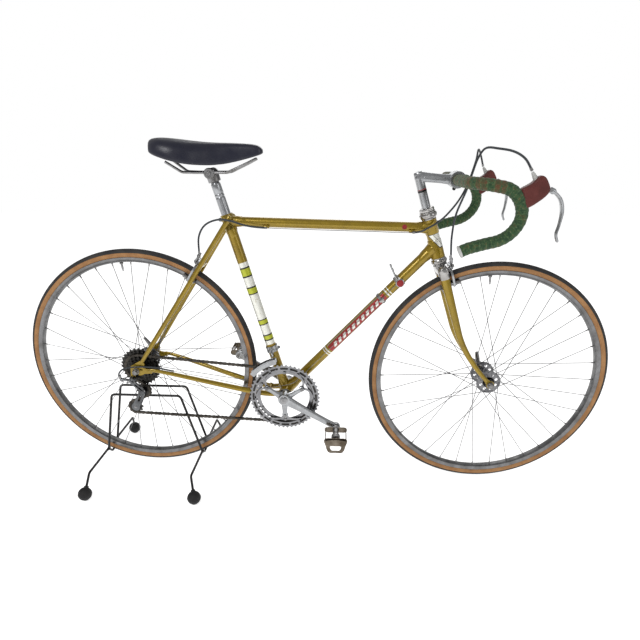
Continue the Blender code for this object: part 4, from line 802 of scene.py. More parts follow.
def build_rim(end, axle, body):
    """A box rim with rolled edges, a brake track, spoke nipples and a valve."""
    bm = bmesh.new()
    half = RIM_WIDTH / 2
    inner = RIM_RADIUS - RIM_DEPTH
    right = [(RIM_RADIUS - 0.0035, -half + 0.0032), (RIM_RADIUS - 0.0004, -half + 0.0022),
             (RIM_RADIUS, -half + 0.0008), (RIM_RADIUS - 0.0008, -half),
             (RIM_RADIUS - 0.0022, -half + 0.0002), (RIM_RADIUS - 0.0030, -half + 0.0005),
             (inner + 0.0042, -half + 0.0005), (inner + 0.0034, -half + 0.0002),
             (inner + 0.0026, -half + 0.0004), (inner + 0.0016, -half + 0.0020),
             (inner + 0.0006, -half * 0.55), (inner + 0.0002, -half * 0.25)]
    profile = right + [(r, -y) for r, y in right[::-1]]
    bed = len(right) - 3
    mats = [1 if bed <= i < len(profile) - 1 - bed else 0 for i in range(len(profile))]
    spin(bm, profile, axle, ACROSS, 144, ring=True, mats=mats)
    for i in range(SPOKES):
        out = side_vector(2 * math.pi * i / SPOKES)
        lean = ACROSS * (0.0010 if i % 2 else -0.0010)
        spin(bm, [(0, -0.0090), (0.0017, -0.0088), (0.0019, -0.0025), (0.0029, -0.0018),
                  (0.0030, 0.0006), (0, 0.0010)], axle + out * (inner + 0.0012) + lean, out, 8, 2)
    up = side_vector(2 * math.pi * 9.5 / SPOKES)
    spin(bm, [(0, -0.026), (0.0016, -0.026), (0.0022, -0.024), (0.0022, -0.020), (0.0030, -0.0195),
              (0.0030, -0.006), (0.0052, -0.0055), (0.0052, -0.0020), (0.0030, -0.0015), (0, 0.001)],
         axle + up * (inner + 0.0010), up, 14, 2)
    piece(f"{end}_rim_hoop", bm, body, ["rim", "rim_dark", "steel"], f"{end}_rim", angle=30)


def build_hub(end, axle, body, flanges, core, half_width):
    """A high-flange hub with round windows, and its crossed spokes with bent elbows."""
    bm = bmesh.new()
    thick = 0.0016
    windows = 8
    for flange in flanges:
        outer = circle(FLANGE_RADIUS, 72)
        holes = [circle(0.0046, 16, polar(0.0222, 360 / windows * (k + 0.5))) for k in range(windows)]
        flat_slab(bm, [outer, *holes, circle(0.0115, 24)], axle, flange - thick, flange + thick)
        spin(bm, [(FLANGE_RADIUS - 0.0030, flange - thick - 0.0004), (FLANGE_RADIUS, flange - thick),
                  (FLANGE_RADIUS + 0.0005, flange), (FLANGE_RADIUS, flange + thick),
                  (FLANGE_RADIUS - 0.0030, flange + thick + 0.0004)], axle, ACROSS, 72, ring=True)
    right, left = flanges
    spin(bm, [(0.0056, -half_width), (core, -half_width), (core, right - thick), (0.0158, right - thick),
              (0.0158, right + thick), (0.0135, right + 0.0060), (0.0112, right + 0.0120),
              (0.0108, (right + left) / 2), (0.0112, left - 0.0120), (0.0135, left - 0.0060),
              (0.0158, left - thick), (0.0158, left + thick), (0.0140, left + 0.0045),
              (0.0118, half_width - 0.004), (0.0110, half_width), (0.0056, half_width)],
         axle, ACROSS, 48, ring=True)
    reach = RIM_RADIUS - RIM_DEPTH - 0.0060
    holes_at = FLANGE_RADIUS - 0.0042
    for i in range(SPOKES):
        flange = flanges[i % 2]
        lean = 1 if (i // 2) % 2 else -1
        rim_angle = 2 * math.pi * i / SPOKES
        hub_angle = rim_angle - lean * math.radians(62)
        seat = axle + side_vector(hub_angle) * holes_at
        start = seat + ACROSS * (flange + lean * (thick + 0.0009))
        end_point = axle + side_vector(rim_angle) * reach + ACROSS * (0.0010 if i % 2 else -0.0010)
        tube(bm, [seat + ACROSS * (flange - lean * (thick + 0.0010)),
                  seat + ACROSS * (flange + lean * thick * 0.8), start.lerp(end_point, 0.006), end_point],
             [0.0019, 0.0010, 0.00098, 0.00092], 8, across=AHEAD, mat=1)
    piece(f"{end}_hub_web", bm, body, ["hub", "spoke"], f"{end}_hub_and_spokes", angle=32)


def build_axle(end, axle, body, gap):
    """Locknut, dropout washer and the skewer's ribbed end nut."""
    bm = bmesh.new()
    for side in (-1, 1):
        out = ACROSS * side
        base = axle + out * (gap + GAP)
        spin(bm, [(0.0048, 0), (0.0092, 0), (0.0095, 0.0006), (0.0095, 0.0020), (0.0082, 0.0026),
                  (0.0048, 0.0026)], base, out, 36, ring=True)
        if side < 0:
            spin(bm, [(0, 0.0020), (0.0086, 0.0020), (0.0090, 0.0030), (0.0090, 0.0068),
                      (0.0078, 0.0080), (0.0078, 0.0100), (0.0070, 0.0132), (0.0045, 0.0135),
                      (0.0040, 0.0128), (0, 0.0128)], base, out, 12)
        else:
            spin(bm, [(0, 0.0020), (0.0088, 0.0020), (0.0090, 0.0030), (0.0086, 0.0070), (0, 0.0070)],
                 base, out, 32)
    spin(bm, [(0, -gap), (0.0047, -gap), (0.0047, gap), (0, gap)], axle, ACROSS, 20)
    piece(f"{end}_axle_nuts", bm, body, ["steel"], f"{end}_axle", bevel=0.0003)


def build_release(end, tilt, gap):
    """The cam's rounded head and its curved, dished lever."""
    out = side_vector(math.radians(tilt))
    hinge = ACROSS.cross(out)
    centre = middle(f"{end}_axle")
    centre = Vector((centre.x, gap + GAP + 0.007 + 0.0006 + 0.0070, centre.z))
    bm = bmesh.new()
    spin(bm, [(0, -0.0076), (0.0055, -0.0076), (0.0068, -0.0066), (0.0070, -0.0040), (0.0070, 0.0040),
              (0.0068, 0.0066), (0.0055, 0.0076), (0, 0.0076)], centre, hinge, 32)
    points = [centre + out * 0.002, centre + out * 0.012 + ACROSS * 0.0016,
              centre + out * 0.024 + ACROSS * 0.0012, centre + out * 0.036 - ACROSS * 0.0005,
              centre + out * 0.046 - ACROSS * 0.0022, centre + out * 0.0535 - ACROSS * 0.0042]
    line = smooth_path(points, 0.0035)
    tube(bm, line, [0.0050 + 0.0016 * math.sin(k / 15 * math.pi) for k in range(len(line))], 14, 0.42,
         hinge, domed=True)
    piece(f"{end}_release_lever", bm, f"{end}_release", ["steel"], f"{end}_quick_release", bevel=0.0003)


def build_wheels():
    front_gap, rear_gap = FORK_TIP_Y + FORK_TIP_THICK, DROPOUT_Y + DROPOUT_THICK
    sprocket_first = RING_Y[1] + DRIVEN * SPROCKET_STEP
    for end, axle, body in (("front", FRONT, "front_wheel"), ("rear", REAR, "rear_wheel")):
        build_tyre(end, axle, body)
        build_rim(end, axle, body)
    build_hub("front", FRONT, "front_wheel", (-0.0335, 0.0335), 0.0118, 0.0480)
    build_hub("rear", REAR, "rear_wheel", (sprocket_first + 0.0085, 0.0345), 0.0145, 0.0610)
    build_axle("front", FRONT, "steering", front_gap)
    build_axle("rear", REAR, "bike_frame", rear_gap)
    build_release("front", 105, front_gap)
    build_release("rear", 118, rear_gap)


def teeth(count, tip=0.0021, root=0.0030, trim=0.0):
    """A sprocket's outline: a narrow crown for each tooth and a round seat for each roller."""
    radius = pitch_radius(count)
    out = []
    for k in range(count):
        for share, r in ((-0.36, radius - root * 0.8), (-0.20, radius - root * 0.1),
                         (-0.085, radius + tip - trim), (0.085, radius + tip - trim),
                         (0.20, radius - root * 0.1), (0.36, radius - root * 0.8)):
            out.append(polar(r, 360 * (k + share) / count))
    return out


def build_freewheel():
    """Five sprockets, the larger ones drilled, with spacers between them on a hollow body."""
    bm = bmesh.new()
    first = RING_Y[1] + DRIVEN * SPROCKET_STEP
    for i, count in enumerate(SPROCKET_TEETH):
        y = first - i * SPROCKET_STEP
        inner = 0.0200
        holes = []
        if count > 22:
            holes = [circle(0.0042, 12, polar((pitch_radius(count) + 0.019) / 2, 60 * k + 20 * i))
                     for k in range(6)]
        flat_slab(bm, [teeth(count), *holes, circle(inner, 36)], REAR, y - 0.0009, y + 0.0009)
        spin(bm, [(inner - 0.001, y - 0.0046), (inner + 0.0030, y - 0.0044), (inner + 0.0030, y - 0.0010),
                  (inner - 0.001, y - 0.0010)], REAR, ACROSS, 40, ring=True)
    last = first - 4 * SPROCKET_STEP
    spin(bm, [(0.0156, first + 0.0030), (0.0205, first + 0.0030), (0.0212, last - 0.0010),
              (0.0205, last - 0.0026), (0.0176, last - 0.0028), (0.0170, last - 0.0012),
              (0.0156, last - 0.0012)], REAR, ACROSS, 40, ring=True)
    piece("freewheel_stack", bm, "freewheel", ["dark"], "freewheel", bevel=0.0002)


# Drive ----------------------------------------------------------------------------------

def tangent_run(first, second):
    """The straight run of a chain from one wheel to the next, each (centre, radius, turn)."""
    (c1, r1, s1), (c2, r2, s2) = first, second
    line = c2 - c1
    base = math.atan2(line.z, line.x)
    normal = side_vector(base - math.acos((s1 * r1 - s2 * r2) / line.length))
    return c1 + normal * r1 * s1, c2 + normal * r2 * s2


def chain_path():
    pulley = pitch_radius(PULLEY_TEETH)
    wheels = [(BB, pitch_radius(RING_TEETH[1]), 1), (REAR, pitch_radius(SPROCKET_TEETH[DRIVEN]), 1),
              (PULLEYS[0], pulley, -1), (PULLEYS[1], pulley, 1)]
    wheels = [(Vector((c.x, 0, c.z)), r, s) for c, r, s in wheels]
    runs = [tangent_run(a, b) for a, b in zip(wheels, wheels[1:] + wheels[:1])]
    points = []
    for i, (centre, radius, turn) in enumerate(wheels):
        start, end = runs[i - 1][1] - centre, runs[i][0] - centre
        a0 = math.atan2(start.z, start.x)
        sweep = (math.atan2(end.z, end.x) - a0) * turn % (2 * math.pi)
        steps = max(6, round(sweep / math.radians(3)))
        points += [centre + side_vector(a0 + turn * sweep * k / steps) * radius
                   for k in range(steps + 1)]
    return points


def build_chain():
    """Link by link: rollers between waisted plates, the plates wide and narrow in turn."""
    path = chain_path()
    closed = path + [path[0]]
    length = sum((b - a).length for a, b in zip(closed, closed[1:]))
    count = round(length / LINK / 2) * 2
    pins = spaced(path, length / count, True)
    bm = bmesh.new()
    for i, pin in enumerate(pins):
        on = pins[(i + 1) % len(pins)]
        along = (on - pin).normalized()
        across = Vector((-along.z, 0, along.x))
        pitch = (on - pin).length
        outer = i % 2
        wide = 0.0041 if outer else 0.0042
        layer = 0.0030 if outer else 0.0019
        outline = [(wide * math.cos(a), wide * math.sin(a))
                   for a in (math.radians(d) for d in (110, 145, 180, 215, 250))]
        outline.append((pitch * 0.5, -wide * 0.68))
        outline += [(pitch + wide * math.cos(a), wide * math.sin(a))
                    for a in (math.radians(d) for d in (290, 325, 0, 35, 70))]
        outline.append((pitch * 0.5, wide * 0.68))
        for side in (-1, 1):
            near, far = sorted((side * (layer - 0.00045), side * (layer + 0.00045)))
            rows = [[bm.verts.new(pin + along * a + across * b + ACROSS * (RING_Y[1] + y))
                     for a, b in outline] for y in (near, far)]
            quads(bm, rows, False, 0, True)
        spin(bm, [(0, -0.0036), (0.0018, -0.0036), (0.0018, -0.0016), (0.0038, -0.0016),
                  (0.0038, 0.0016), (0.0018, 0.0016), (0.0018, 0.0036), (0, 0.0036)],
             pin + ACROSS * RING_Y[1], ACROSS, 8)
    obj = make("link_chain", bm, ["chain"])
    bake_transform(obj)
    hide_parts("chain")


def build_cranks():
    for (label, side), boss_y, eye_y in zip(SIDES, (-0.0640, 0.0580), EYE_Y):
        out = CRANK_OUT if side < 0 else -CRANK_OUT
        bm = bmesh.new()
        points = [BB + ACROSS * boss_y + out * s for s in (0.004, 0.016)]
        points += [BB + ACROSS * (boss_y + (eye_y - boss_y) * t) + out * (0.016 + 0.138 * t)
                   for t in (0.2, 0.45, 0.7, 0.9)]
        points += [BB + ACROSS * eye_y + out * s for s in (CRANK_LENGTH - 0.010, CRANK_LENGTH)]
        radii = [0.0150, 0.0138, 0.0118, 0.0103, 0.0092, 0.0089, 0.0098, 0.0108]
        tube(bm, points, radii, 28, [0.62, 0.58, 0.56, 0.58, 0.60, 0.62, 0.60, 0.56],
             out.cross(ACROSS), shape=boxy(3.2))
        outward = ACROSS * side
        eye = BB + ACROSS * eye_y + out * CRANK_LENGTH
        spin(bm, [(0.0060, -0.0062), (0.0118, -0.0062), (0.0126, -0.0050), (0.0126, 0.0050),
                  (0.0118, 0.0062), (0.0060, 0.0062)], eye, ACROSS, 40, ring=True)
        near = side * 0.0380
        base = BB + ACROSS * near
        deep = abs(boss_y - near) + 0.0078
        spin(bm, [(0.0086, 0), (0.0160, 0), (0.0172, 0.0012), (0.0172, deep - 0.0022),
                  (0.0158, deep), (0.0118, deep), (0.0112, deep - 0.0010), (0.0086, deep - 0.0010)],
             base, outward, 44, ring=True)
        spin(bm, [(0, deep - 0.0022), (0.0112, deep - 0.0022), (0.0112, deep + 0.0006),
                  (0.0098, deep + 0.0016), (0.0040, deep + 0.0022), (0.0034, deep + 0.0012),
                  (0, deep + 0.0012)], base, outward, 36, 1)
        if side < 0:
            build_spider(bm)
        else:
            spin(bm, [(0, -0.060), (0.0084, -0.060), (0.0084, 0.056), (0, 0.056)], BB, ACROSS, 24, 1)
        piece(f"crank_arm_{label}", bm, "cranks", ["alloy", "steel"], f"crank_{label}", bevel=0.0006)


def build_spider(bm):
    """Three curved arms from the boss to the ring's bolts."""
    inner_y, outer_y = -0.0580, RING_Y[0] - 0.0044
    for i in range(3):
        degrees = 150 + 120 * i
        out = side_vector(math.radians(degrees))
        points = [BB + ACROSS * inner_y + out * 0.010, BB + ACROSS * (inner_y + 0.002) + out * 0.026,
                  BB + ACROSS * (outer_y - 0.0005) + out * 0.044, BB + ACROSS * outer_y + out * 0.0605]
        tube(bm, points, [0.0120, 0.0085, 0.0068, 0.0078], 20, [0.42, 0.42, 0.40, 0.36],
             out.cross(ACROSS), domed=True)
        bolt(bm, BB + out * BOLT_CIRCLE + ACROSS * (outer_y - 0.0020), -ACROSS, 0.0042, 0.0032, 1, True)


def strut(bm, degrees, turn, near, far):
    """One half of a spider arm's fork, curving out to the ring."""
    hub = Vector(polar(BOLT_CIRCLE, degrees)).to_3d()
    tip = Vector(polar(0.0870, degrees + turn)).to_3d()
    bow = Vector(polar(0.0740, degrees + turn * 0.36)).to_3d()
    line = smooth_path([hub, bow, tip], 0.004)
    left, right = [], []
    for k, p in enumerate(line):
        q = line[min(k + 1, len(line) - 1)] - line[max(k - 1, 0)]
        side = Vector((-q.y, q.x, 0)).normalized() * (0.0040 - 0.0012 * math.sin(math.pi * k / len(line)))
        left.append(tuple((p + side).xy))
        right.append(tuple((p - side).xy))
    flat_slab(bm, [left + right[::-1]], BB, near, far)


def build_rings():
    """The slotted outer ring on its forked arms, a dark sheet behind its slots as painted shade, and the
    inner ring on its bolts.
    """
    bm = bmesh.new()
    near, far = RING_Y[0] - RING_HALF_THICK, RING_Y[0] + RING_HALF_THICK
    slots = []
    count = 20
    for k in range(count):
        a0 = 360 * k / count
        half = 6.4
        slot = [polar(0.0945, a0 - half + 2 * half * t / 6) for t in range(7)]
        slot += [polar(0.0925, a0 + half + 1.0), polar(0.0902, a0 + half + 0.6)]
        slot += [polar(0.0885, a0 + half - 2 * half * t / 6) for t in range(7)]
        slot += [polar(0.0902, a0 - half - 0.6), polar(0.0925, a0 - half - 1.0)]
        slots.append(slot)
    flat_slab(bm, [teeth(RING_TEETH[0]), *slots, circle(0.0842, 120)], BB, near, far)
    for i in range(3):
        degrees = 150 + 120 * i
        flat_slab(bm, [circle(0.0086, 28, polar(BOLT_CIRCLE, degrees))], BB, near, far)
        for turn in (-34, 34):
            strut(bm, degrees, turn, near, far)
    # a thin dark sheet just behind the slots, no part of the ring: painted shade seen through them
    flat_slab(bm, [circle(0.0960, 96), circle(0.0868, 96)], BB, far + 0.0002, far + 0.0008, 1)
    piece("outer_ring", bm, "cranks", ["ring", "dark"], "chainring_outer", bevel=0.00025)
    bm = bmesh.new()
    near, far = RING_Y[1] - RING_HALF_THICK, RING_Y[1] + RING_HALF_THICK
    flat_slab(bm, [teeth(RING_TEETH[1], 0.0014), circle(0.0722, 100)], BB, near, far)
    for k in range(6):
        spot = BB + side_vector(math.radians(90 + 60 * k)) * 0.0765
        spin(bm, [(0, RING_Y[0] + 0.0012), (0.0038, RING_Y[0] + 0.0012), (0.0042, RING_Y[0] + 0.0020),
                  (0.0042, near), (0, near)], spot, ACROSS, 16)
        bolt(bm, spot + ACROSS * far, ACROSS, 0.0034, 0.0018, 0, True)
    piece("inner_ring", bm, "cranks", ["ring"], "chainring_inner", bevel=0.00025)


def build_pedal(label, side):
    """A quill pedal: two toothed cage plates, an outer quill plate, barrel and dust cap."""
    out = CRANK_OUT if side < 0 else -CRANK_OUT
    eye_y = EYE_Y[0] if side < 0 else EYE_Y[1]
    eye = BB + out * CRANK_LENGTH
    outward = ACROSS * side
    bm = bmesh.new()
    base = eye + ACROSS * (eye_y - side * 0.0055)
    spin(bm, [(0, 0), (0.0052, 0), (0.0052, 0.0125), (0.0070, 0.0130), (0.0070, 0.0160),
              (0.0098, 0.0165), (0.0122, 0.0180), (0.0122, 0.0215), (0.0098, 0.0240),
              (0.0085, 0.0270), (0.0082, 0.0400), (0.0085, 0.0530), (0.0100, 0.0560),
              (0.0122, 0.0580), (0.0122, 0.0660), (0.0112, 0.0672), (0.0112, 0.0712),
              (0.0095, 0.0722), (0.0040, 0.0726), (0, 0.0726)], base, outward, 36, 1)
    inner_y = eye_y + side * 0.0178
    outer_y = eye_y + side * 0.0858
    low_y, high_y = sorted((inner_y, outer_y))
    for end in (-1, 1):
        teeth_line = []
        steps = 12
        for k in range(steps + 1):
            y = low_y + 0.006 + (high_y - low_y - 0.012) * k / steps
            teeth_line.append((y, 0.0122 if k % 2 else 0.0092))
        outline = [(low_y, -0.0070), (low_y, 0.0070)] + teeth_line + [(high_y, 0.0070), (high_y, -0.0070)]
        outline += [(y, -z) for y, z in teeth_line[::-1]]
        gap = (high_y - low_y) / 4
        holes = [soft_loop([(low_y + gap * (k + 0.62), -0.0040), (low_y + gap * (k + 1.38), -0.0040),
                            (low_y + gap * (k + 1.38), 0.0040), (low_y + gap * (k + 0.62), 0.0040)], 3)
                 for k in range(3)]
        x = end * 0.0290
        slab(bm, [outline, *holes], eye + AHEAD * x, ACROSS, UP, -0.0009, 0.0009)
    for y, half_high in ((inner_y, 0.0075), (outer_y - side * 0.0068, 0.0085)):
        outline = soft_loop([(-0.029, -half_high), (0, -half_high * 1.05), (0.029, -half_high),
                             (0.029, half_high), (0, half_high * 1.05), (-0.029, half_high)], 3)
        near, far = sorted((y - 0.0009, y + 0.0009))
        flat_slab(bm, [outline], eye, near, far)
    quill_y = eye_y + side * 0.0840
    near, far = sorted((quill_y - 0.0010, quill_y + 0.0010))
    shape = soft_loop([(-0.0280, 0.004), (-0.0285, -0.008), (-0.0200, -0.0320), (0, -0.0338),
                       (0.0200, -0.0320), (0.0285, -0.008), (0.0280, 0.004), (0, 0.0072)], 4)
    window = soft_loop([(-0.0150, -0.0130), (-0.0115, -0.0262), (0, -0.0272), (0.0115, -0.0262),
                        (0.0150, -0.0130), (0, -0.0122)], 4)
    flat_slab(bm, [shape, window], eye, near, far)
    piece(f"quill_pedal_{label}", bm, f"{label}_pedal", ["bronze", "steel"], f"pedal_{label}",
          bevel=0.00025)


def build_rear_derailleur():
    y = RING_Y[1]
    top, low = PULLEYS
    along = (low - top).normalized()
    square = Vector((-along.z, 0, along.x))
    bm = bmesh.new()
    outside, inside = y - 0.0055, y + 0.0055

    def local(centre, radius, start, sweep, steps=14):
        spots = []
        for k in range(steps + 1):
            turn = math.radians(start + sweep * k / steps)
            p = centre - top + (square * math.cos(turn) - along * math.sin(turn)) * radius
            spots.append((p.x, p.z))
        return spots
    outline = local(top, 0.0088, 0, 180) + local(low, 0.0128, 150, 240)
    slot_low = top.lerp(low, 0.28)
    slot_high = top.lerp(low, 0.60)
    slot = local(slot_low, 0.0030, 0, 180, 8) + local(slot_high, 0.0030, 180, 180, 8)
    flat_slab(bm, [outline, slot], top, outside - 0.0006, outside + 0.0006)
    flat_slab(bm, [outline, slot], top, inside - 0.0006, inside + 0.0006)
    for centre in PULLEYS:
        plan = teeth(PULLEY_TEETH, 0.0014, 0.0034)
        flat_slab(bm, [plan, circle(0.0040, 16)], centre, y - 0.0012, y + 0.0012, 1)
        spin(bm, [(0, outside - 0.0006), (0.0030, outside - 0.0006), (0.0030, inside + 0.0006),
                  (0, inside + 0.0006)], centre, ACROSS, 14, 2)
        bolt(bm, centre + ACROSS * (outside - 0.0004), -ACROSS, 0.0036, 0.0024, 2)
    piece("pulley_cage", bm, "derailleur_cage", ["mech", "dark", "steel"], "rear_derailleur_cage",
          bevel=0.00025)
    bm = bmesh.new()
    face = -(DROPOUT_Y + DROPOUT_THICK) - GAP
    spin(bm, [(0, 0), (0.0088, 0), (0.0095, 0.0008), (0.0095, 0.0090), (0.0086, 0.0102),
              (0.0086, 0.0138), (0.0070, 0.0146), (0.0040, 0.0146), (0.0036, 0.0132), (0, 0.0132)],
         HANGER + ACROSS * face, -ACROSS, 32)
    pivot = outside - 0.0009
    spin(bm, [(0, 0), (0.0100, 0), (0.0106, 0.0008), (0.0106, 0.0120), (0.0095, 0.0150),
              (0.0060, 0.0158), (0.0052, 0.0146), (0, 0.0146)], top + ACROSS * pivot, -ACROSS, 32)
    head = HANGER + Vector((0.0010, 0, -0.0060))
    foot = top + Vector((0.0030, 0, 0.0080))
    tube(bm, [Vector((HANGER.x, face - 0.0070, HANGER.z)),
              Vector((head.x + 0.003, face - 0.0090, head.z - 0.004))], [0.0088, 0.0092], 20, 0.85,
         domed=True)
    for shift, wide in ((-0.0042, 0.0052), (0.0046, 0.0044)):
        link = [Vector((head.x + shift, face - 0.0105, head.z)),
                Vector(((head.x + foot.x) / 2 + shift * 1.4 + 0.004, -0.0735, (head.z + foot.z) / 2)),
                Vector((foot.x + shift, pivot - 0.0100, foot.z))]
        tube(bm, smooth_path(link, 0.005), wide, 14, 0.62, domed=True)
    for spot in (head + ACROSS * (face - 0.0150), foot + ACROSS * (pivot - 0.0140)):
        for shift in (-0.0050, 0.0055):
            place = Vector((spot.x + shift, spot.y + 0.0020, spot.z))
            spin(bm, [(0, 0), (0.0032, 0), (0.0034, 0.0012), (0.0026, 0.0022), (0, 0.0022)], place,
                 -ACROSS, 18, 1)
    barrel = Vector((-0.5475, -0.0803, 0.3440))
    tube(bm, [barrel, barrel + Vector((-0.0010, 0, 0.0120))], 0.0034, 12, mat=1)
    tube(bm, [Vector((HANGER.x - 0.004, face - 0.0090, HANGER.z - 0.001)), barrel], 0.0046, 14, 0.7,
         domed=True)
    for k in (0, 1):
        spot = Vector((HANGER.x - 0.0120, face - 0.0060 - 0.0055 * k, HANGER.z - 0.0090))
        tube(bm, [spot, spot + Vector((-0.0060, 0, 0.0010))], 0.0019, 10, mat=1)
    piece("derailleur_links", bm, "bike_frame", ["mech", "steel"], "rear_derailleur_body",
          bevel=0.0004)


def build_front_derailleur():
    place = BB + SEAT_UP * 0.140
    bm = bmesh.new()
    radius = SEAT_TUBE_RADIUS + 0.0004
    spin(bm, [(radius, -0.0088), (radius + 0.0024, -0.0090), (radius + 0.0031, -0.0070),
              (radius + 0.0024, -0.0045), (radius + 0.0024, 0.0045), (radius + 0.0031, 0.0070),
              (radius + 0.0024, 0.0090), (radius, 0.0088)], place, SEAT_UP, 44, ring=True)
    ear = place + AHEAD * (radius + 0.0040)
    tube(bm, [ear - ACROSS * 0.0070, ear + ACROSS * 0.0070], 0.0046, 14, 0.9, domed=True)
    bolt(bm, ear + ACROSS * 0.0075, ACROSS, 0.0036, 0.0036, 1)
    high = pitch_radius(RING_TEETH[0])
    side = place - ACROSS * (radius + 0.0010)
    knuckle = side - ACROSS * 0.0100 + AHEAD * 0.002
    tube(bm, [side, knuckle], [0.0080, 0.0085], 18, 0.9, SEAT_UP, domed=True)
    target = BB + side_vector(math.radians(105)) * (high + 0.030) - ACROSS * 0.0405
    for rise in (-0.0050, 0.0052):
        start = knuckle + SEAT_UP * rise
        tube(bm, smooth_path([start, start.lerp(target, 0.5) + UP * 0.003,
                              target + UP * rise * 0.6], 0.005), 0.0038, 12, 0.7, domed=True)
        spin(bm, [(0, 0), (0.0030, 0), (0.0030, 0.0014), (0, 0.0018)], start - ACROSS * 0.0060,
             -ACROSS, 16, 1)
    piece("front_mech_clamp", bm, "bike_frame", ["alloy", "steel"], "front_derailleur_clamp",
          bevel=0.0004)
    bm = bmesh.new()
    outline = [polar(high + 0.0215, 102 + 40 * k / 18) for k in range(19)]
    outline += [polar(high + 0.0195, 143.2), polar(high + 0.0090, 143.4)]
    outline += [polar(high + 0.0065, 142 - 40 * k / 18) for k in range(19)]
    outline += [polar(high + 0.0100, 101.0), polar(high + 0.0190, 101.0)]
    inside = RING_Y[1] + 0.0052
    outside = RING_Y[0] - 0.0049
    for y in (inside, outside):
        flat_slab(bm, [outline], BB, y - 0.0007, y + 0.0007)
    rib = [polar(high + 0.0185, 106 + 32 * k / 14) for k in range(15)]
    rib += [polar(high + 0.0160, 138 - 32 * k / 14) for k in range(15)]
    flat_slab(bm, [rib], BB, outside - 0.0014, outside)
    for d0, d1, r0, r1 in ((101.5, 108, 0.0150, 0.0212), (138, 142.5, 0.0090, 0.0190)):
        bridge = [polar(high + r1, d0), polar(high + r1, d1), polar(high + r0, d1), polar(high + r0, d0)]
        flat_slab(bm, [bridge], BB, outside, inside)
    piece("front_mech_cage", bm, "bike_frame", ["alloy"], "front_derailleur_cage", bevel=0.0003)


# Frame ----------------------------------------------------------------------------------

def frame_tube(bm, start, end, radius, sides=44, mat=0):
    tube(bm, [start, start.lerp(end, 0.25), start.lerp(end, 0.5), start.lerp(end, 0.75), end], radius,
         sides, mat=mat)


def lug_sleeve(bm, start, along, radius, length, point, turn=0.0, mat=0, wall=LUG_WALL):
    """A sleeve whose far edge swells into two long points, with a thinned lip."""
    along = along.normalized()
    wide = ACROSS if abs(along.y) < 0.9 else AHEAD
    thin = along.cross(wide)
    sides = 48
    loops = []
    for share, thick in ((0.0, wall), (0.45, wall), (0.80, wall * 0.92), (0.96, wall * 0.62),
                         (1.0, wall * 0.40), (1.0, -0.0004), (0.2, -0.0004)):
        ring = []
        for k in range(sides):
            a = 2 * math.pi * k / sides
            reach = length + point * abs(math.cos(a + turn)) ** 2.4
            out = wide * math.cos(a) + thin * math.sin(a)
            ring.append(bm.verts.new(start + along * reach * share + out * (radius + thick)))
        loops.append(ring)
    quads(bm, loops, False, mat, True)


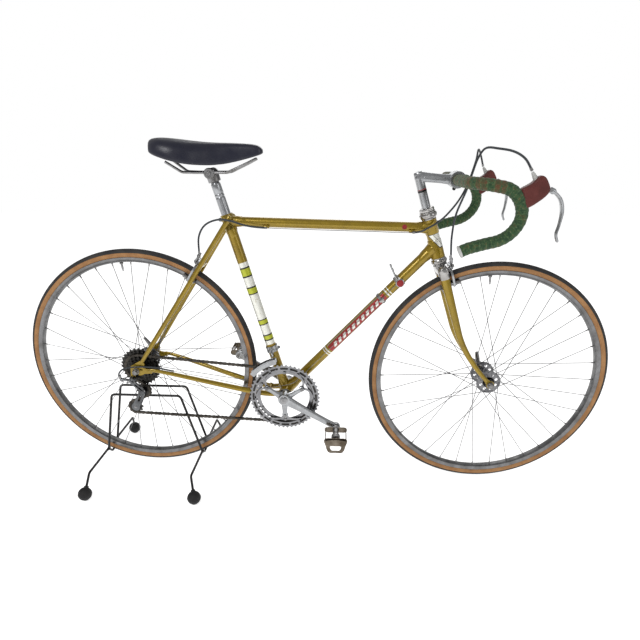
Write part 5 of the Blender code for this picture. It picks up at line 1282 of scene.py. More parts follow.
def build_frame():
    bm = bmesh.new()
    frame_tube(bm, SEAT_LUG, TOP_TUBE_END, TOP_TUBE_RADIUS)
    along = TOP_TUBE_END - SEAT_LUG
    lug_sleeve(bm, SEAT_LUG, along, TOP_TUBE_RADIUS, 0.034, 0.018)
    lug_sleeve(bm, TOP_TUBE_END, -along, TOP_TUBE_RADIUS, 0.036, 0.018)
    unit = along.normalized()
    for share in (0.193, 0.905):
        spot = SEAT_LUG.lerp(TOP_TUBE_END, share)
        under = spot + Vector((0, -0.0145, -0.0095))
        tube(bm, [under - unit * 0.0060, under + unit * 0.0060], 0.0042, 16, domed=True)
        tube(bm, [spot + Vector((0, -0.0080, -0.0060)), under], 0.0040, 12)
    piece("top_tube_lugged", bm, "bike_frame", ["paint"], "top_tube")

    bm = bmesh.new()
    frame_tube(bm, BB, DOWN_TUBE_END, DOWN_TUBE_RADIUS)
    lug_sleeve(bm, BB, DOWN_ALONG, DOWN_TUBE_RADIUS, 0.040, 0.016)
    lug_sleeve(bm, DOWN_TUBE_END, -DOWN_ALONG, DOWN_TUBE_RADIUS, 0.040, 0.020)
    piece("down_tube_lugged", bm, "bike_frame", ["down_tube"], "down_tube")

    bm = bmesh.new()
    frame_tube(bm, BB, SEAT_TOP, SEAT_TUBE_RADIUS)
    lug_sleeve(bm, BB, SEAT_UP, SEAT_TUBE_RADIUS, 0.036, 0.014)
    lug_sleeve(bm, SEAT_LUG - SEAT_UP * 0.004, -SEAT_UP, SEAT_TUBE_RADIUS, 0.024, 0.016)
    spin(bm, [(0.0128, -0.026), (0.0161, -0.026), (0.0161, 0.0165), (0.0168, 0.0172), (0.0168, 0.0180),
              (0.0128, 0.0180)], SEAT_LUG, SEAT_UP, 48, ring=True)
    back = SEAT_LUG - AHEAD * 0.0190 + UP * 0.0050
    tube(bm, [back - ACROSS * 0.0105, back + ACROSS * 0.0105], 0.0056, 20, domed=True)
    tube(bm, [SEAT_LUG - AHEAD * 0.012 + UP * 0.003, back], [0.0075, 0.0060], 14)
    obj_bolt = bmesh.new()
    bolt(obj_bolt, back - ACROSS * 0.0118, -ACROSS, 0.0040, 0.0040, 0)
    bolt(obj_bolt, back + ACROSS * 0.0118, ACROSS, 0.0040, 0.0040, 0, True)
    piece("seat_tube_lugged", bm, "bike_frame", ["seat_tube"], "seat_tube")
    piece("seat_binder_bolt", obj_bolt, "bike_frame", ["steel"], bevel=0.0002)

    bm = bmesh.new()
    thick = HEAD_TUBE_RADIUS + LUG_WALL
    spin(bm, [(0.0139, 0), (thick, 0), (thick + 0.0006, 0.0015), (thick, 0.0034), (thick, 0.0470),
              (HEAD_TUBE_RADIUS + 0.0004, 0.0493), (HEAD_TUBE_RADIUS, 0.0497),
              (HEAD_TUBE_RADIUS, 0.0632), (HEAD_TUBE_RADIUS + 0.0004, 0.0636), (thick, 0.0658),
              (thick, 0.0996), (thick + 0.0006, 0.1014), (thick, 0.103), (0.0139, 0.103)],
         HEAD_FOOT, STEER_UP, 56, ring=True)
    collar = HEAD_TUBE_RADIUS
    back_top = (SEAT_LUG - TOP_TUBE_END).normalized()
    tube(bm, [TOP_TUBE_END + back_top * (collar - 0.006), TOP_TUBE_END + back_top * (collar + 0.0045),
              TOP_TUBE_END + back_top * (collar + 0.0075)], [0.0166, 0.0152, 0.0145], 44)
    tube(bm, [DOWN_TUBE_END - DOWN_ALONG * (collar - 0.006), DOWN_TUBE_END - DOWN_ALONG * (collar + 0.0055),
              DOWN_TUBE_END - DOWN_ALONG * (collar + 0.0085)], [0.0180, 0.0166, 0.0160], 44)
    piece("head_tube_lugged", bm, "bike_frame", ["head_tube"], "head_tube")
    build_badges()

    bm = bmesh.new()
    width = BB_HALF_WIDTH
    spin(bm, [(0.0092, -width), (0.0192, -width), (0.0202, -width + 0.0012), (0.0202, -width + 0.012),
              (0.0206, -width + 0.014), (0.0206, width - 0.014), (0.0202, width - 0.012),
              (0.0202, width - 0.0012), (0.0192, width), (0.0092, width)], BB, ACROSS, 56, ring=True)
    piece("bracket_shell", bm, "bike_frame", ["paint"], "bottom_bracket_shell")
    bm = bmesh.new()
    for side in (-1, 1):
        spin(bm, [(0.0091, width - 0.004), (0.0186, width - 0.004), (0.0186, width + 0.0012),
                  (0.0196, width + 0.0014), (0.0196, width + 0.0030), (0.0170, width + 0.0034),
                  (0.0150, width + 0.0026), (0.0091, width + 0.0026)], BB, ACROSS * side, 10 if side > 0
             else 40, ring=True)
    piece("bracket_cups", bm, "bike_frame", ["steel"], bevel=0.0002)
    build_stays()


def build_badges():
    """A plain oval head badge, and a round red disc beside the front of the top tube."""
    bm = bmesh.new()
    spot = HEAD_FOOT + STEER_UP * 0.082 + STEER_AHEAD * (HEAD_TUBE_RADIUS + 0.0014)
    loops = []
    for size, lift in ((1.0, 0.0), (1.0, 0.0008), (0.86, 0.0012), (0.80, 0.0009), (0.02, 0.0010)):
        ring = []
        for k in range(40):
            a = 2 * math.pi * k / 40
            y, z = 0.0085 * size * math.cos(a), 0.0125 * size * math.sin(a)
            sink = (HEAD_TUBE_RADIUS + 0.002) - math.sqrt((HEAD_TUBE_RADIUS + 0.002) ** 2 - y * y)
            ring.append(bm.verts.new(spot + ACROSS * y + STEER_UP * z + STEER_AHEAD * (lift - sink)))
        loops.append(ring)
    quads(bm, loops, False, 0, True)
    piece("head_badge", bm, "bike_frame", ["alloy"])
    bm = bmesh.new()
    spot = TOP_TUBE_END + (SEAT_LUG - TOP_TUBE_END).normalized() * 0.070 + UP * 0.001
    spin(bm, [(0, 0.0006), (0.0058, 0.0006), (0.0062, 0.0002), (0.0062, -0.0020), (0, -0.0020)],
         spot - ACROSS * (TOP_TUBE_RADIUS + 0.0002), -ACROSS, 36)
    piece("round_red_disc", bm, "bike_frame", ["crimson"])


def seat_stay_path(side):
    top_y = SEAT_TUBE_RADIUS + LUG_WALL + STAY_RADIUS + GAP
    foot = REAR + STAY_UP * 0.036 + ACROSS * (DROPOUT_Y + 0.0025)
    top = SEAT_LUG + STAY_UP * 0.010 + ACROSS * top_y
    return mirrored([foot, foot + STAY_UP * 0.03, foot.lerp(top, 0.35), top], side)


def build_stays():
    bm = bmesh.new()
    for side in (-1, 1):
        path = smooth_path(seat_stay_path(side), 0.02)
        path = [path[0] - STAY_UP * 0.008] + path
        count = len(path)
        radii = [0.0048 + 0.0018 * min(1.0, k / 4) for k in range(count)]
        flats = [0.62 if k == 0 else min(1.0, 0.62 + 0.12 * k) for k in range(count)]
        tube(bm, path, radii, 24, flats, AHEAD)
        cap = path[-1]
        tube(bm, [cap - STAY_UP * 0.016, cap - STAY_UP * 0.004, cap + STAY_UP * 0.006],
             [0.0068, 0.0074, 0.0070], 24, [1.0, 0.95, 0.80], AHEAD, domed=True)
    path = seat_stay_path(1)
    share = (BRIDGE - path[2]).dot(STAY_UP) / (path[3] - path[2]).dot(STAY_UP)
    half = path[2].lerp(path[3], share).y
    tube(bm, [BRIDGE + ACROSS * y * half for y in (-1, -0.82, -0.5, 0, 0.5, 0.82, 1)],
         [0.0062, 0.0052, 0.0048, 0.0060, 0.0048, 0.0052, 0.0062], 24, across=UP)
    spin(bm, [(0, 0), (0.0024, 0), (0.0024, 0.0208), (0.0056, 0.0208), (0.0056, 0.0225), (0.0046, 0.0250),
              (0, 0.0250)], BRIDGE, STAY_BACK, 6, 1)
    piece("seat_stay_pair", bm, "bike_frame", ["paint", "steel"], "seat_stays")
    slot = 0.0056
    for label, side in SIDES:
        bm = bmesh.new()
        y = DROPOUT_Y + 0.0025
        points = mirrored([REAR + Vector((0.030, y, -0.0002)), REAR + Vector((0.042, y, -0.0006)),
                           REAR + Vector((0.075, y - 0.003, -0.003)),
                           BB + Vector((-0.085, 0.0292, 0.004)), BB + Vector((-0.006, 0.0235, 0))], side)
        path = smooth_path(points, 0.018)
        count = len(path) - 1
        radii = [0.0052 + 0.0030 * min(1.0, 1.4 * k / count) for k in range(count + 1)]
        flats = [0.55] + [min(1.0, 0.62 + 0.10 * k) for k in range(count)]
        tube(bm, path, radii, 28, flats, UP)
        tab = [STAY_UP * 0.0354 - STAY_BACK * 0.0060, STAY_UP * 0.0354 + STAY_BACK * 0.0060]
        outline = [(0.046, 0.0060), (0.030, 0.0082), (0.021, 0.0125), (tab[0].x + 0.002, tab[0].z - 0.006),
                   (tab[0].x, tab[0].z), (tab[1].x, tab[1].z), (-0.0142, 0.0160), (-0.0158, 0.0060)]
        if side < 0:
            outline += [(-0.0172, -0.010), (-0.0205, -0.020), (-0.0190, -0.029), (-0.0120, -0.0325),
                        (-0.0062, -0.029)]
        else:
            outline += [(-0.0158, -0.010), (-0.0140, -0.0135)]
        outline += [(-slot, -0.013)]
        outline += [(slot * math.cos(a), slot * math.sin(a))
                    for a in (math.pi - math.pi * k / 10 for k in range(11))]
        outline += [(slot, -0.013), (0.0150, -0.0125), (0.0240, -0.0075), (0.046, -0.0060)]
        window = soft_loop([(0.0120, 0.0085), (0.0205, 0.0045), (0.0125, 0.0030)], 4)
        near, far = sorted((side * DROPOUT_Y, side * (DROPOUT_Y + DROPOUT_THICK)))
        flat_slab(bm, [outline, window], REAR, near, far)
        if side < 0:
            bridge = [BB + Vector((-0.050, yy, 0.003)) for yy in (-0.026, -0.010, 0.010, 0.026)]
            tube(bm, bridge, [0.0066, 0.0055, 0.0055, 0.0066], 20, across=UP)
        piece(f"chain_stay_{label}_bar", bm, "bike_frame", ["paint"], f"chain_stay_{label}", bevel=0.0004)


def build_headset():
    """Turned races, an eight-sided lock nut and a small hook on the drive side."""
    bm = bmesh.new()
    spin(bm, [(0.0134, -0.0185), (0.0170, -0.0185), (0.0182, -0.0175), (0.0182, -0.0160),
              (0.0205, -0.0140), (0.0215, -0.0120), (0.0215, -0.0096), (0.0208, -0.0084),
              (0.0208, -0.0066), (0.0190, -0.0044), (0.0185, -0.0034), (0.0185, -0.0003),
              (0.0134, -0.0003)], HEAD_FOOT, STEER_UP, 56, ring=True)
    piece("lower_race", bm, "bike_frame", ["chrome"], "headset_lower")
    bm = bmesh.new()
    spin(bm, [(0.0134, 0.0003), (0.0186, 0.0003), (0.0190, 0.0030), (0.0205, 0.0052), (0.0218, 0.0070),
              (0.0218, 0.0090), (0.0225, 0.0098), (0.0225, 0.0135), (0.0212, 0.0150), (0.0192, 0.0170),
              (0.0134, 0.0172)], HEAD_TOP, STEER_UP, 56, ring=True)
    spin(bm, [(0.0134, 0.0172), (0.0196, 0.0172), (0.0200, 0.0178), (0.0200, 0.0196), (0.0134, 0.0198)],
         HEAD_TOP, STEER_UP, 40, ring=True)
    spin(bm, [(0.0134, 0.0200), (0.0186, 0.0200), (0.0190, 0.0206), (0.0190, 0.0266), (0.0180, 0.0286),
              (0.0160, 0.0298), (0.0134, 0.0299)], HEAD_TOP, STEER_UP, 8, ring=True)
    hook = HEAD_TOP + STEER_UP * 0.0190
    tube(bm, [hook - ACROSS * 0.017, hook - ACROSS * 0.026 + UP * 0.001,
              hook - ACROSS * 0.030 - UP * 0.003, hook - ACROSS * 0.029 - UP * 0.010], 0.0022, 10,
         across=UP)
    piece("upper_race", bm, frame_body("headset_upper"), ["chrome"], "headset_upper", bevel=0.0002)


def frame_body(node):
    """The body that the record gives this node to."""
    bodies = frame["record"]["behaviour"]["bodies"]
    return next(name for name, nodes in bodies.items() if node in nodes)


def build_fork():
    bm = bmesh.new()
    spin(bm, [(0.0115, -0.034), (0.0127, -0.034), (0.0127, 0.1330), (0.0115, 0.1335)], HEAD_FOOT,
         STEER_UP, 40, ring=True)
    half = [CROWN + ACROSS * y for y in (0.043, 0.0405, 0.034, 0.024, 0.014, 0)]
    path = half + mirrored(half[-2::-1], -1)
    tube(bm, path, [0.0098, 0.0128, 0.0148, 0.0142, 0.0148, 0.0152, 0.0148, 0.0142, 0.0148, 0.0128,
                    0.0098], 36, [0.9, 0.95, 1, 0.94, 1, 1, 1, 0.94, 1, 0.95, 0.9], AHEAD)
    spin(bm, [(0.0128, -0.0215), (0.0178, -0.0215), (0.0186, -0.0205), (0.0186, -0.0190),
              (0.0128, -0.0188)], HEAD_FOOT, STEER_UP, 44, ring=True)
    for side in (-1, 1):
        socket = CROWN + ACROSS * side * BLADE_Y
        tube(bm, [socket, socket - STEER_UP * 0.016, socket - STEER_UP * 0.021],
             [0.0146, 0.0141, 0.0133], 32, 0.88, AHEAD)
    spin(bm, [(0, 0), (0.0024, 0), (0.0024, 0.0305), (0.0056, 0.0305), (0.0056, 0.0325), (0.0046, 0.0345),
              (0, 0.0345)], CROWN, STEER_AHEAD, 6)
    piece("crown_and_steerer", bm, "steering", ["chrome"], "fork_crown")
    length = FORK_LENGTH
    for label, side in SIDES:
        bm = bmesh.new()
        start, bend = 0.038, 0.55 * length
        path, radii = [], []
        for k in range(25):
            s = start + (length * 0.965 - start) * k / 24
            curve = max(0.0, (s - bend) / (length - bend)) ** 1.75
            share = (s - start) / (length - start)
            y = BLADE_Y + (FORK_TIP_Y + FORK_TIP_THICK / 2 - BLADE_Y) * share
            path.append(HEAD_FOOT - STEER_UP * s + STEER_AHEAD * RAKE * curve + ACROSS * side * y)
            radii.append(0.0128 - 0.0074 * share)
        tube(bm, path, radii, 30, [0.86 + 0.10 * k / 24 for k in range(25)], AHEAD)
        near, far = sorted((side * FORK_TIP_Y, side * (FORK_TIP_Y + FORK_TIP_THICK)))
        up = (path[-1] - FRONT)
        up = Vector((up.x, 0, up.z)).normalized()
        rim = [Vector((math.cos(a), 0, math.sin(a))) * 0.0115 for a in
               (math.atan2(up.z, up.x) + math.radians(40 + 280 * k / 22) for k in range(23))]
        right = Vector((up.z, 0, -up.x))
        outline = [(p.x, p.z) for p in rim]
        outline += [tuple((up * 0.0290 + right * w).xz) for w in (0.0040, -0.0040)]
        window = [tuple((up * h + right * w).xz)
                  for h, w in ((0.0150, 0.0028), (0.0220, 0.0), (0.0150, -0.0028))]
        flat_slab(bm, [outline, window, circle(0.0054, 20)], FRONT, near, far)
        piece(f"fork_blade_{label}_bar", bm, "steering", ["paint"], f"fork_blade_{label}", bevel=0.0004)


# Seat -----------------------------------------------------------------------------------

def build_seat():
    bm = bmesh.new()

    def fluted(_, a):
        return 1.0 - 0.035 * max(0.0, math.cos(a * 8)) ** 2
    spin(bm, [(0, -0.184), (SEATPOST_RADIUS, -0.184), (SEATPOST_RADIUS, -0.090), (0, -0.090)],
         SEAT_HEAD, SEAT_UP, 40)
    tube(bm, [SEAT_HEAD - SEAT_UP * s for s in (0.091, 0.088, 0.0645, 0.063)], SEATPOST_RADIUS, 64,
         shape=fluted)
    groove = [(0, -0.0635), (SEATPOST_RADIUS, -0.0635), (SEATPOST_RADIUS, -0.0600), (0.0119, -0.0592),
              (0.0119, -0.0576), (SEATPOST_RADIUS, -0.0568), (SEATPOST_RADIUS, -0.0520), (0.0119, -0.0512),
              (0.0119, -0.0496), (SEATPOST_RADIUS, -0.0488), (SEATPOST_RADIUS, -0.0260),
              (0.0120, -0.0245), (0.0108, -0.0225), (0.0108, 0), (0, 0)]
    spin(bm, groove, SEAT_HEAD, SEAT_UP, 48)
    piece("fluted_seatpost", bm, "seat", ["alloy"], "seatpost")

    bm = bmesh.new()
    spin(bm, [(0.0111, -0.020), (0.0150, -0.020), (0.0163, -0.0190), (0.0165, -0.0020), (0.0152, -0.001),
              (0.0111, -0.001)], SEAT_HEAD, SEAT_UP, 40, ring=True)
    barrel = SEAT_HEAD + Vector((-0.002, 0, 0.002))
    tube(bm, [barrel - ACROSS * 0.0235, barrel + ACROSS * 0.0235], 0.0066, 24, across=UP)
    for side in (-1, 1):
        spot = barrel + ACROSS * side * 0.0235
        spin(bm, [(0, -0.0060), (0.0120, -0.0060), (0.0132, -0.0048), (0.0132, 0.0040), (0.0118, 0.0056),
                  (0, 0.0056)], spot, ACROSS * side, 28)
        bolt(bm, spot + ACROSS * side * 0.0052, ACROSS * side, 0.0056, 0.0050)
    z = barrel.z + 0.002
    for side in (-1, 1):
        y = side * 0.0225
        path = [(SEAT_HEAD.x - 0.108, side * 0.036, z + 0.026), (SEAT_HEAD.x - 0.070, y * 1.15, z + 0.001),
                (SEAT_HEAD.x - 0.040, y, z), (SEAT_HEAD.x + 0.045, y, z),
                (SEAT_HEAD.x + 0.095, side * 0.012, z + 0.022),
                (SEAT_HEAD.x + 0.116, side * 0.0065, z + 0.032)]
        tube(bm, rounded(path, 0.02, 8), 0.0034, 14)
    piece("saddle_frame", bm, "seat", ["steel"], "saddle_rails", bevel=0.0003)
    build_saddle()


def build_saddle():
    """A lofted cover: rounded tail, smooth crown and a drooped skirt with a rolled lip."""
    keys = [(-0.1475, 0.022, 0.079, 0.066), (-0.145, 0.040, 0.0850, 0.060), (-0.138, 0.054, 0.0895, 0.054),
            (-0.118, 0.068, 0.0915, 0.046), (-0.085, 0.074, 0.0890, 0.036), (-0.050, 0.067, 0.0850, 0.029),
            (-0.015, 0.048, 0.0815, 0.0265), (0.020, 0.032, 0.0795, 0.0270), (0.060, 0.0235, 0.0785, 0.034),
            (0.100, 0.0195, 0.0765, 0.044), (0.120, 0.0170, 0.0730, 0.050), (0.1285, 0.0130, 0.0680, 0.053),
            (0.1325, 0.0065, 0.0630, 0.056)]
    line = smooth_path([Vector((k[0], k[1], k[2])) for k in keys], 0.006)
    skirt = smooth_path([Vector((k[0], k[1], k[3])) for k in keys], 0.006)
    bm = bmesh.new()
    loops = []
    shape = [(-0.80, 0.06), (-0.95, 0.0), (-1.0, 0.06), (-1.005, 0.20), (-0.99, 0.38), (-0.95, 0.58),
             (-0.86, 0.77), (-0.72, 0.90), (-0.50, 0.97), (-0.25, 0.995), (0, 1.0)]
    shape += [(-a, b) for a, b in shape[-2::-1]] + [(0.45, 0.24), (0, 0.32), (-0.45, 0.24)]
    count = len(line)
    for i in range(count):
        t = i / (count - 1)
        low_z = skirt[round(t * (len(skirt) - 1))].z
        p = line[i]
        base = Vector((SEAT_HEAD.x + p.x, 0, SEAT_HEAD.z - 0.006))
        tall = p.z - low_z
        loops.append([bm.verts.new(base + Vector((0, p.y * a, low_z + tall * b))) for a, b in shape])
    quads(bm, loops, False, 0, True)
    piece("saddle_cover_shell", bm, "seat", ["saddle"], "saddle", smooth=1, angle=80)


# Cockpit --------------------------------------------------------------------------------

def build_stem():
    """A quill, a boxy extension with a recessed panel, and the clamp with its pinch bolt."""
    bm = bmesh.new()
    spin(bm, [(0, -0.1495), (0.0111, -0.1495), (0.0111, 0.0040), (0.0106, 0.0085), (0.0090, 0.0110),
              (0.0052, 0.0118), (0.0046, 0.0100), (0, 0.0100)], STEM_LEVEL, STEER_UP, 44)
    spin(bm, [(0.0111, -0.0390), (0.01145, -0.0386), (0.01145, -0.0342), (0.0111, -0.0338)], STEM_LEVEL,
         STEER_UP, 40, 1, ring=True)
    spin(bm, [(0.0111, -0.0334), (0.0113, -0.0332), (0.0113, -0.0318), (0.0111, -0.0316)], STEM_LEVEL,
         STEER_UP, 40, 2, ring=True)
    start, end = STEM_LEVEL - AHEAD * 0.004, BAR_CENTRE - AHEAD * 0.008
    steps = [start.lerp(end, k / 6) for k in range(7)]
    tube(bm, steps, [0.0112, 0.0110, 0.0104, 0.0100, 0.0100, 0.0104, 0.0112], 32,
         [1.12, 1.10, 1.10, 1.10, 1.10, 1.14, 1.25], shape=boxy(4), domed=True)
    for side in (-1, 1):
        along = (end - start).normalized()
        panel = soft_loop([(0.020, -0.0042), (0.068, -0.0042), (0.0705, 0), (0.068, 0.0042),
                           (0.020, 0.0042), (0.0175, 0)], 4)
        hole = soft_loop([(0.022, -0.0026), (0.0665, -0.0026), (0.0680, 0), (0.0665, 0.0026),
                          (0.022, 0.0026), (0.0203, 0)], 4)
        high = along.cross(ACROSS) * -1
        base = start + ACROSS * side * 0.0098
        slab(bm, [panel, hole], base, along, high, -0.0012, 0.0012)
        slab(bm, [hole], base, along, high, -0.0006, 0.0002)
    spin(bm, [(BAR_RADIUS + 0.0004, -0.0205), (0.0190, -0.0205), (0.0202, -0.0192), (0.0205, -0.0150),
              (0.0196, 0.0), (0.0205, 0.0150), (0.0202, 0.0192), (0.0190, 0.0205),
              (BAR_RADIUS + 0.0004, 0.0205)], BAR_CENTRE, ACROSS, 48, ring=True)
    ear = BAR_CENTRE + Vector((-0.0060, 0, -0.0205))
    tube(bm, [ear - ACROSS * 0.0090, ear + ACROSS * 0.0090], 0.0056, 20, domed=True)
    bolt(bm, ear - ACROSS * 0.0100, -ACROSS, 0.0036, 0.0040, 1, True)
    bolt(bm, STEM_LEVEL + STEER_UP * 0.0088, STEER_UP, 0.0040, 0.0032, 1, True)
    piece("stem_and_clamp", bm, "steering", ["alloy", "dark", "crimson"], "stem", bevel=0.0004)


def bar_half_path():
    """The left half of the bar, from its middle round the drop to its end."""
    x, z, w = BAR_CENTRE.x, BAR_CENTRE.z, BAR_HALF_WIDTH
    points = [Vector((x, 0, z)), Vector((x, w - 0.065, z)), Vector((x + 0.006, w - 0.035, z)),
              Vector((x + 0.024, w - 0.012, z - 0.001)), Vector((x + 0.046, w - 0.002, z - 0.004))]
    curve = [(0.072, 0.010), (0.090, 0.023), (0.102, 0.042), (0.1065, 0.064), (0.101, 0.086),
             (0.086, 0.106), (0.064, 0.1195), (0.035, 0.127), (0.000, 0.137), (-0.016, 0.144)]
    for forward, down in curve:
        points.append(Vector((x + forward * 0.106 / 0.1065, w, z - down)))
    return points


WRAP_PITCH = 0.0120
WRAP_STEP = 0.0022
WRAP_HIGHLIGHT_START = 0.84             # the share of a turn where the painted highlight on each wrap's raised edge begins
WORN_TAPE = 0.210            # the length of tape, from the bare middle, that has browned


def build_bar():
    """Bare centre, cloth tape wound in an overlapping spiral, and a plug in each end."""
    bm = bmesh.new()
    fine = smooth_path(bar_half_path(), WRAP_STEP)
    sides = 24
    for side in (-1, 1):
        path = mirrored(fine, side)
        taped = [p for p in path if abs(p.y) > 0.0215]

        def wound(i, a):
            turn = (i * WRAP_STEP / WRAP_PITCH + a / (2 * math.pi) * side) % 1.0
            ridge = turn / 0.86 if turn < 0.86 else (1 - turn) / 0.14
            return 1.0 + 0.075 * ridge
        before = len(bm.faces)
        tube(bm, taped, BAR_RADIUS - 0.0003, sides, across=UP, shape=wound)
        for index, face in enumerate(list(bm.faces)[before:-2]):
            ring, k = divmod(index, sides)
            turn = ring * WRAP_STEP / WRAP_PITCH + k / sides * side
            worn = ring * WRAP_STEP < WORN_TAPE and math.floor(turn) % 3 != 2
            # faces on each wrap's raised edge get the lighter tape copy, a painted highlight; near the
            # middle, two turns in three get the browned tape
            face.material_index = 3 if turn % 1.0 > WRAP_HIGHLIGHT_START else 4 if worn else 0
        end = taped[-1]
        out = (taped[-1] - taped[-3]).normalized()
        spin(bm, [(0, -0.004), (0.0128, -0.004), (0.0128, 0.0), (0.0144, 0.0004), (0.0146, 0.0026),
                  (0.0132, 0.0044), (0.0070, 0.0052), (0, 0.0054)], end, out, 36, 1)
    tube(bm, [BAR_CENTRE - ACROSS * 0.0225, BAR_CENTRE + ACROSS * 0.0225], BAR_RADIUS - 0.0004, 40,
         across=UP, mat=2)
    piece("taped_bar", bm, "steering", ["tape", "plug", "alloy", "tape_lip_highlight", "tape_worn"], "handlebar",
          angle=60)


def build_hoods():
    """For each side: the rubber hood, the ribbed boot of its cable, and the lever with its pin."""
    for label, side in SIDES:
        pivot = hood_point(side)
        bm = bmesh.new()
        outline = [(-0.0585, 0.0030), (-0.0440, 0.0120), (-0.0345, 0.0185), (-0.0270, 0.0275),
                   (-0.0190, 0.0305), (-0.0110, 0.0270), (-0.0040, 0.0170), (0.0010, 0.0060),
                   (0.0000, -0.0040), (-0.0080, -0.0140), (-0.0210, -0.0245), (-0.0370, -0.0350),
                   (-0.0480, -0.0345), (-0.0500, -0.0200), (-0.0540, -0.0080)]
        rings = []
        for y, shrink in ((-0.0128, 0.74), (-0.0124, 0.88), (-0.0100, 0.97), (-0.0050, 1.0), (0.0, 1.0),
                          (0.0050, 1.0), (0.0100, 0.97), (0.0124, 0.88), (0.0128, 0.74)):
            heart = Vector((-0.0270, 0, -0.0040))
            rings.append([bm.verts.new(pivot + heart + (Vector((a, 0, b)) - heart) * shrink + ACROSS * y)
                          for a, b in soft_loop(outline, 3)])
        quads(bm, rings, False, 0, True)
        piece(f"hood_cover_{label}", bm, "steering", ["hood"], f"brake_hood_{label}", smooth=1, angle=70)
        bm = bmesh.new()
        top = pivot + Vector((-0.0290, 0, 0.0220))
        on = Vector((-0.0130, 0, 0.0195)).normalized()
        spin(bm, [(0, -0.006), (0.0062, -0.006), (0.0060, 0.0), (0.0048, 0.0050), (0.0052, 0.0062),
                  (0.0040, 0.0100), (0.0044, 0.0112), (0.0033, 0.0150), (0.0028, 0.0180), (0, 0.0182)],
             top, on, 24)
        piece(f"cable_boot_{label}", bm, "steering", ["boot"])
        bm = bmesh.new()
        lever = [(0.004, 0.002), (0.016, -0.005), (0.030, -0.020), (0.037, -0.044), (0.036, -0.072),
                 (0.033, -0.092), (0.038, -0.106)]
        line = smooth_path([pivot + Vector((a, 0, b)) for a, b in lever], 0.0045)
        count = len(line)
        radii = [0.0062 + 0.0016 * math.sin(math.pi * min(1.0, 1.5 * k / count)) for k in range(count)]
        tube(bm, line, radii, 20, [0.95 if k < 3 else 0.46 for k in range(count)], domed=True)
        pin = pivot + Vector((0.0035, 0, 0.0015))
        spin(bm, [(0, -0.0098), (0.0036, -0.0098), (0.0042, -0.0088), (0.0042, 0.0088), (0.0036, 0.0098),
                  (0, 0.0098)], pin, ACROSS, 20, 1)
        piece(f"lever_blade_{label}", bm, f"{label}_brake_lever", ["alloy", "steel"],
              f"brake_lever_{label}")


def build_caliper(end, pivot, down, out, first, reach):
    """Side-pull arms in two layers, with shoes in holders, nuts and a barrel adjuster."""
    thick = 0.0055
    shoe = RIM_WIDTH / 2 + 0.0028
    across = down.cross(out)
    for index, (label, side) in enumerate(SIDES):
        layer = first + index * (thick + 0.0006)
        outline = [(-0.010, 0.000), (-0.005, -0.010), (0.008, -0.0105), (0.024, -0.006), (0.0335, 0.008),
                   (0.0350, 0.024), (0.0305, reach + 0.003), (0.0260, reach + 0.0065),
                   (0.0210, reach + 0.003), (0.0235, 0.024), (0.0205, 0.012), (0.008, 0.0085),
                   (-0.005, 0.008)]
        flip = side * across.y
        smooth = [(flip * a, b) for a, b in soft_loop(outline, 4)]
        bm = bmesh.new()
        slab(bm, [smooth, circle(0.0032, 16)], pivot, across, down, layer, layer + thick)
        base = pivot + down * reach + out * (layer + thick / 2) + ACROSS * side * (shoe + 0.0055)
        tube(bm, [base - out * 0.0180, base - out * 0.0175, base + out * 0.0175, base + out * 0.0180],
             [0.0040, 0.0052, 0.0052, 0.0040], 16, mat=1)
        pad = base - ACROSS * side * 0.0036
        tube(bm, [pad - out * 0.0190, pad - out * 0.0180, pad + out * 0.0180, pad + out * 0.0190],
             [0.0030, 0.0040, 0.0040, 0.0030], 12, 1.05, mat=2)
        stud = pivot + down * reach + out * (layer + thick) + ACROSS * side * (shoe + 0.0125)
        bolt(bm, stud, out, 0.0044, 0.0046, 1)
        start, tip = ((0.024, -0.002), (0.036, 0.008)) if side < 0 else ((0.004, 0.000), (0.030, 0.024))
        centre = pivot + out * (layer + thick / 2)
        ends = [centre - ACROSS * a - down * b for a, b in (start, tip)]
        tube(bm, [ends[0], ends[0].lerp(ends[1], 0.55), ends[1]], [0.0052, 0.0044, 0.0046], 16,
             [0.62, 0.60, 0.62], down, domed=True)
        if side > 0:
            top = ends[1]
            spin(bm, [(0, -0.0080), (0.0030, -0.0080), (0.0030, -0.0020), (0.0048, -0.0018),
                      (0.0050, 0.0040), (0.0036, 0.0048), (0.0034, 0.0110), (0.0026, 0.0116), (0, 0.0116)],
                 top, -down, 12, 1)
        else:
            bolt(bm, ends[1] + out * 0.0034, out, 0.0038, 0.0042, 1)
        piece(f"{end}_caliper_{label}", bm, f"{end}_{label}_brake_arm", ["alloy", "steel", "rubber"],
              f"{end}_brake_arm_{label}", bevel=0.0006)


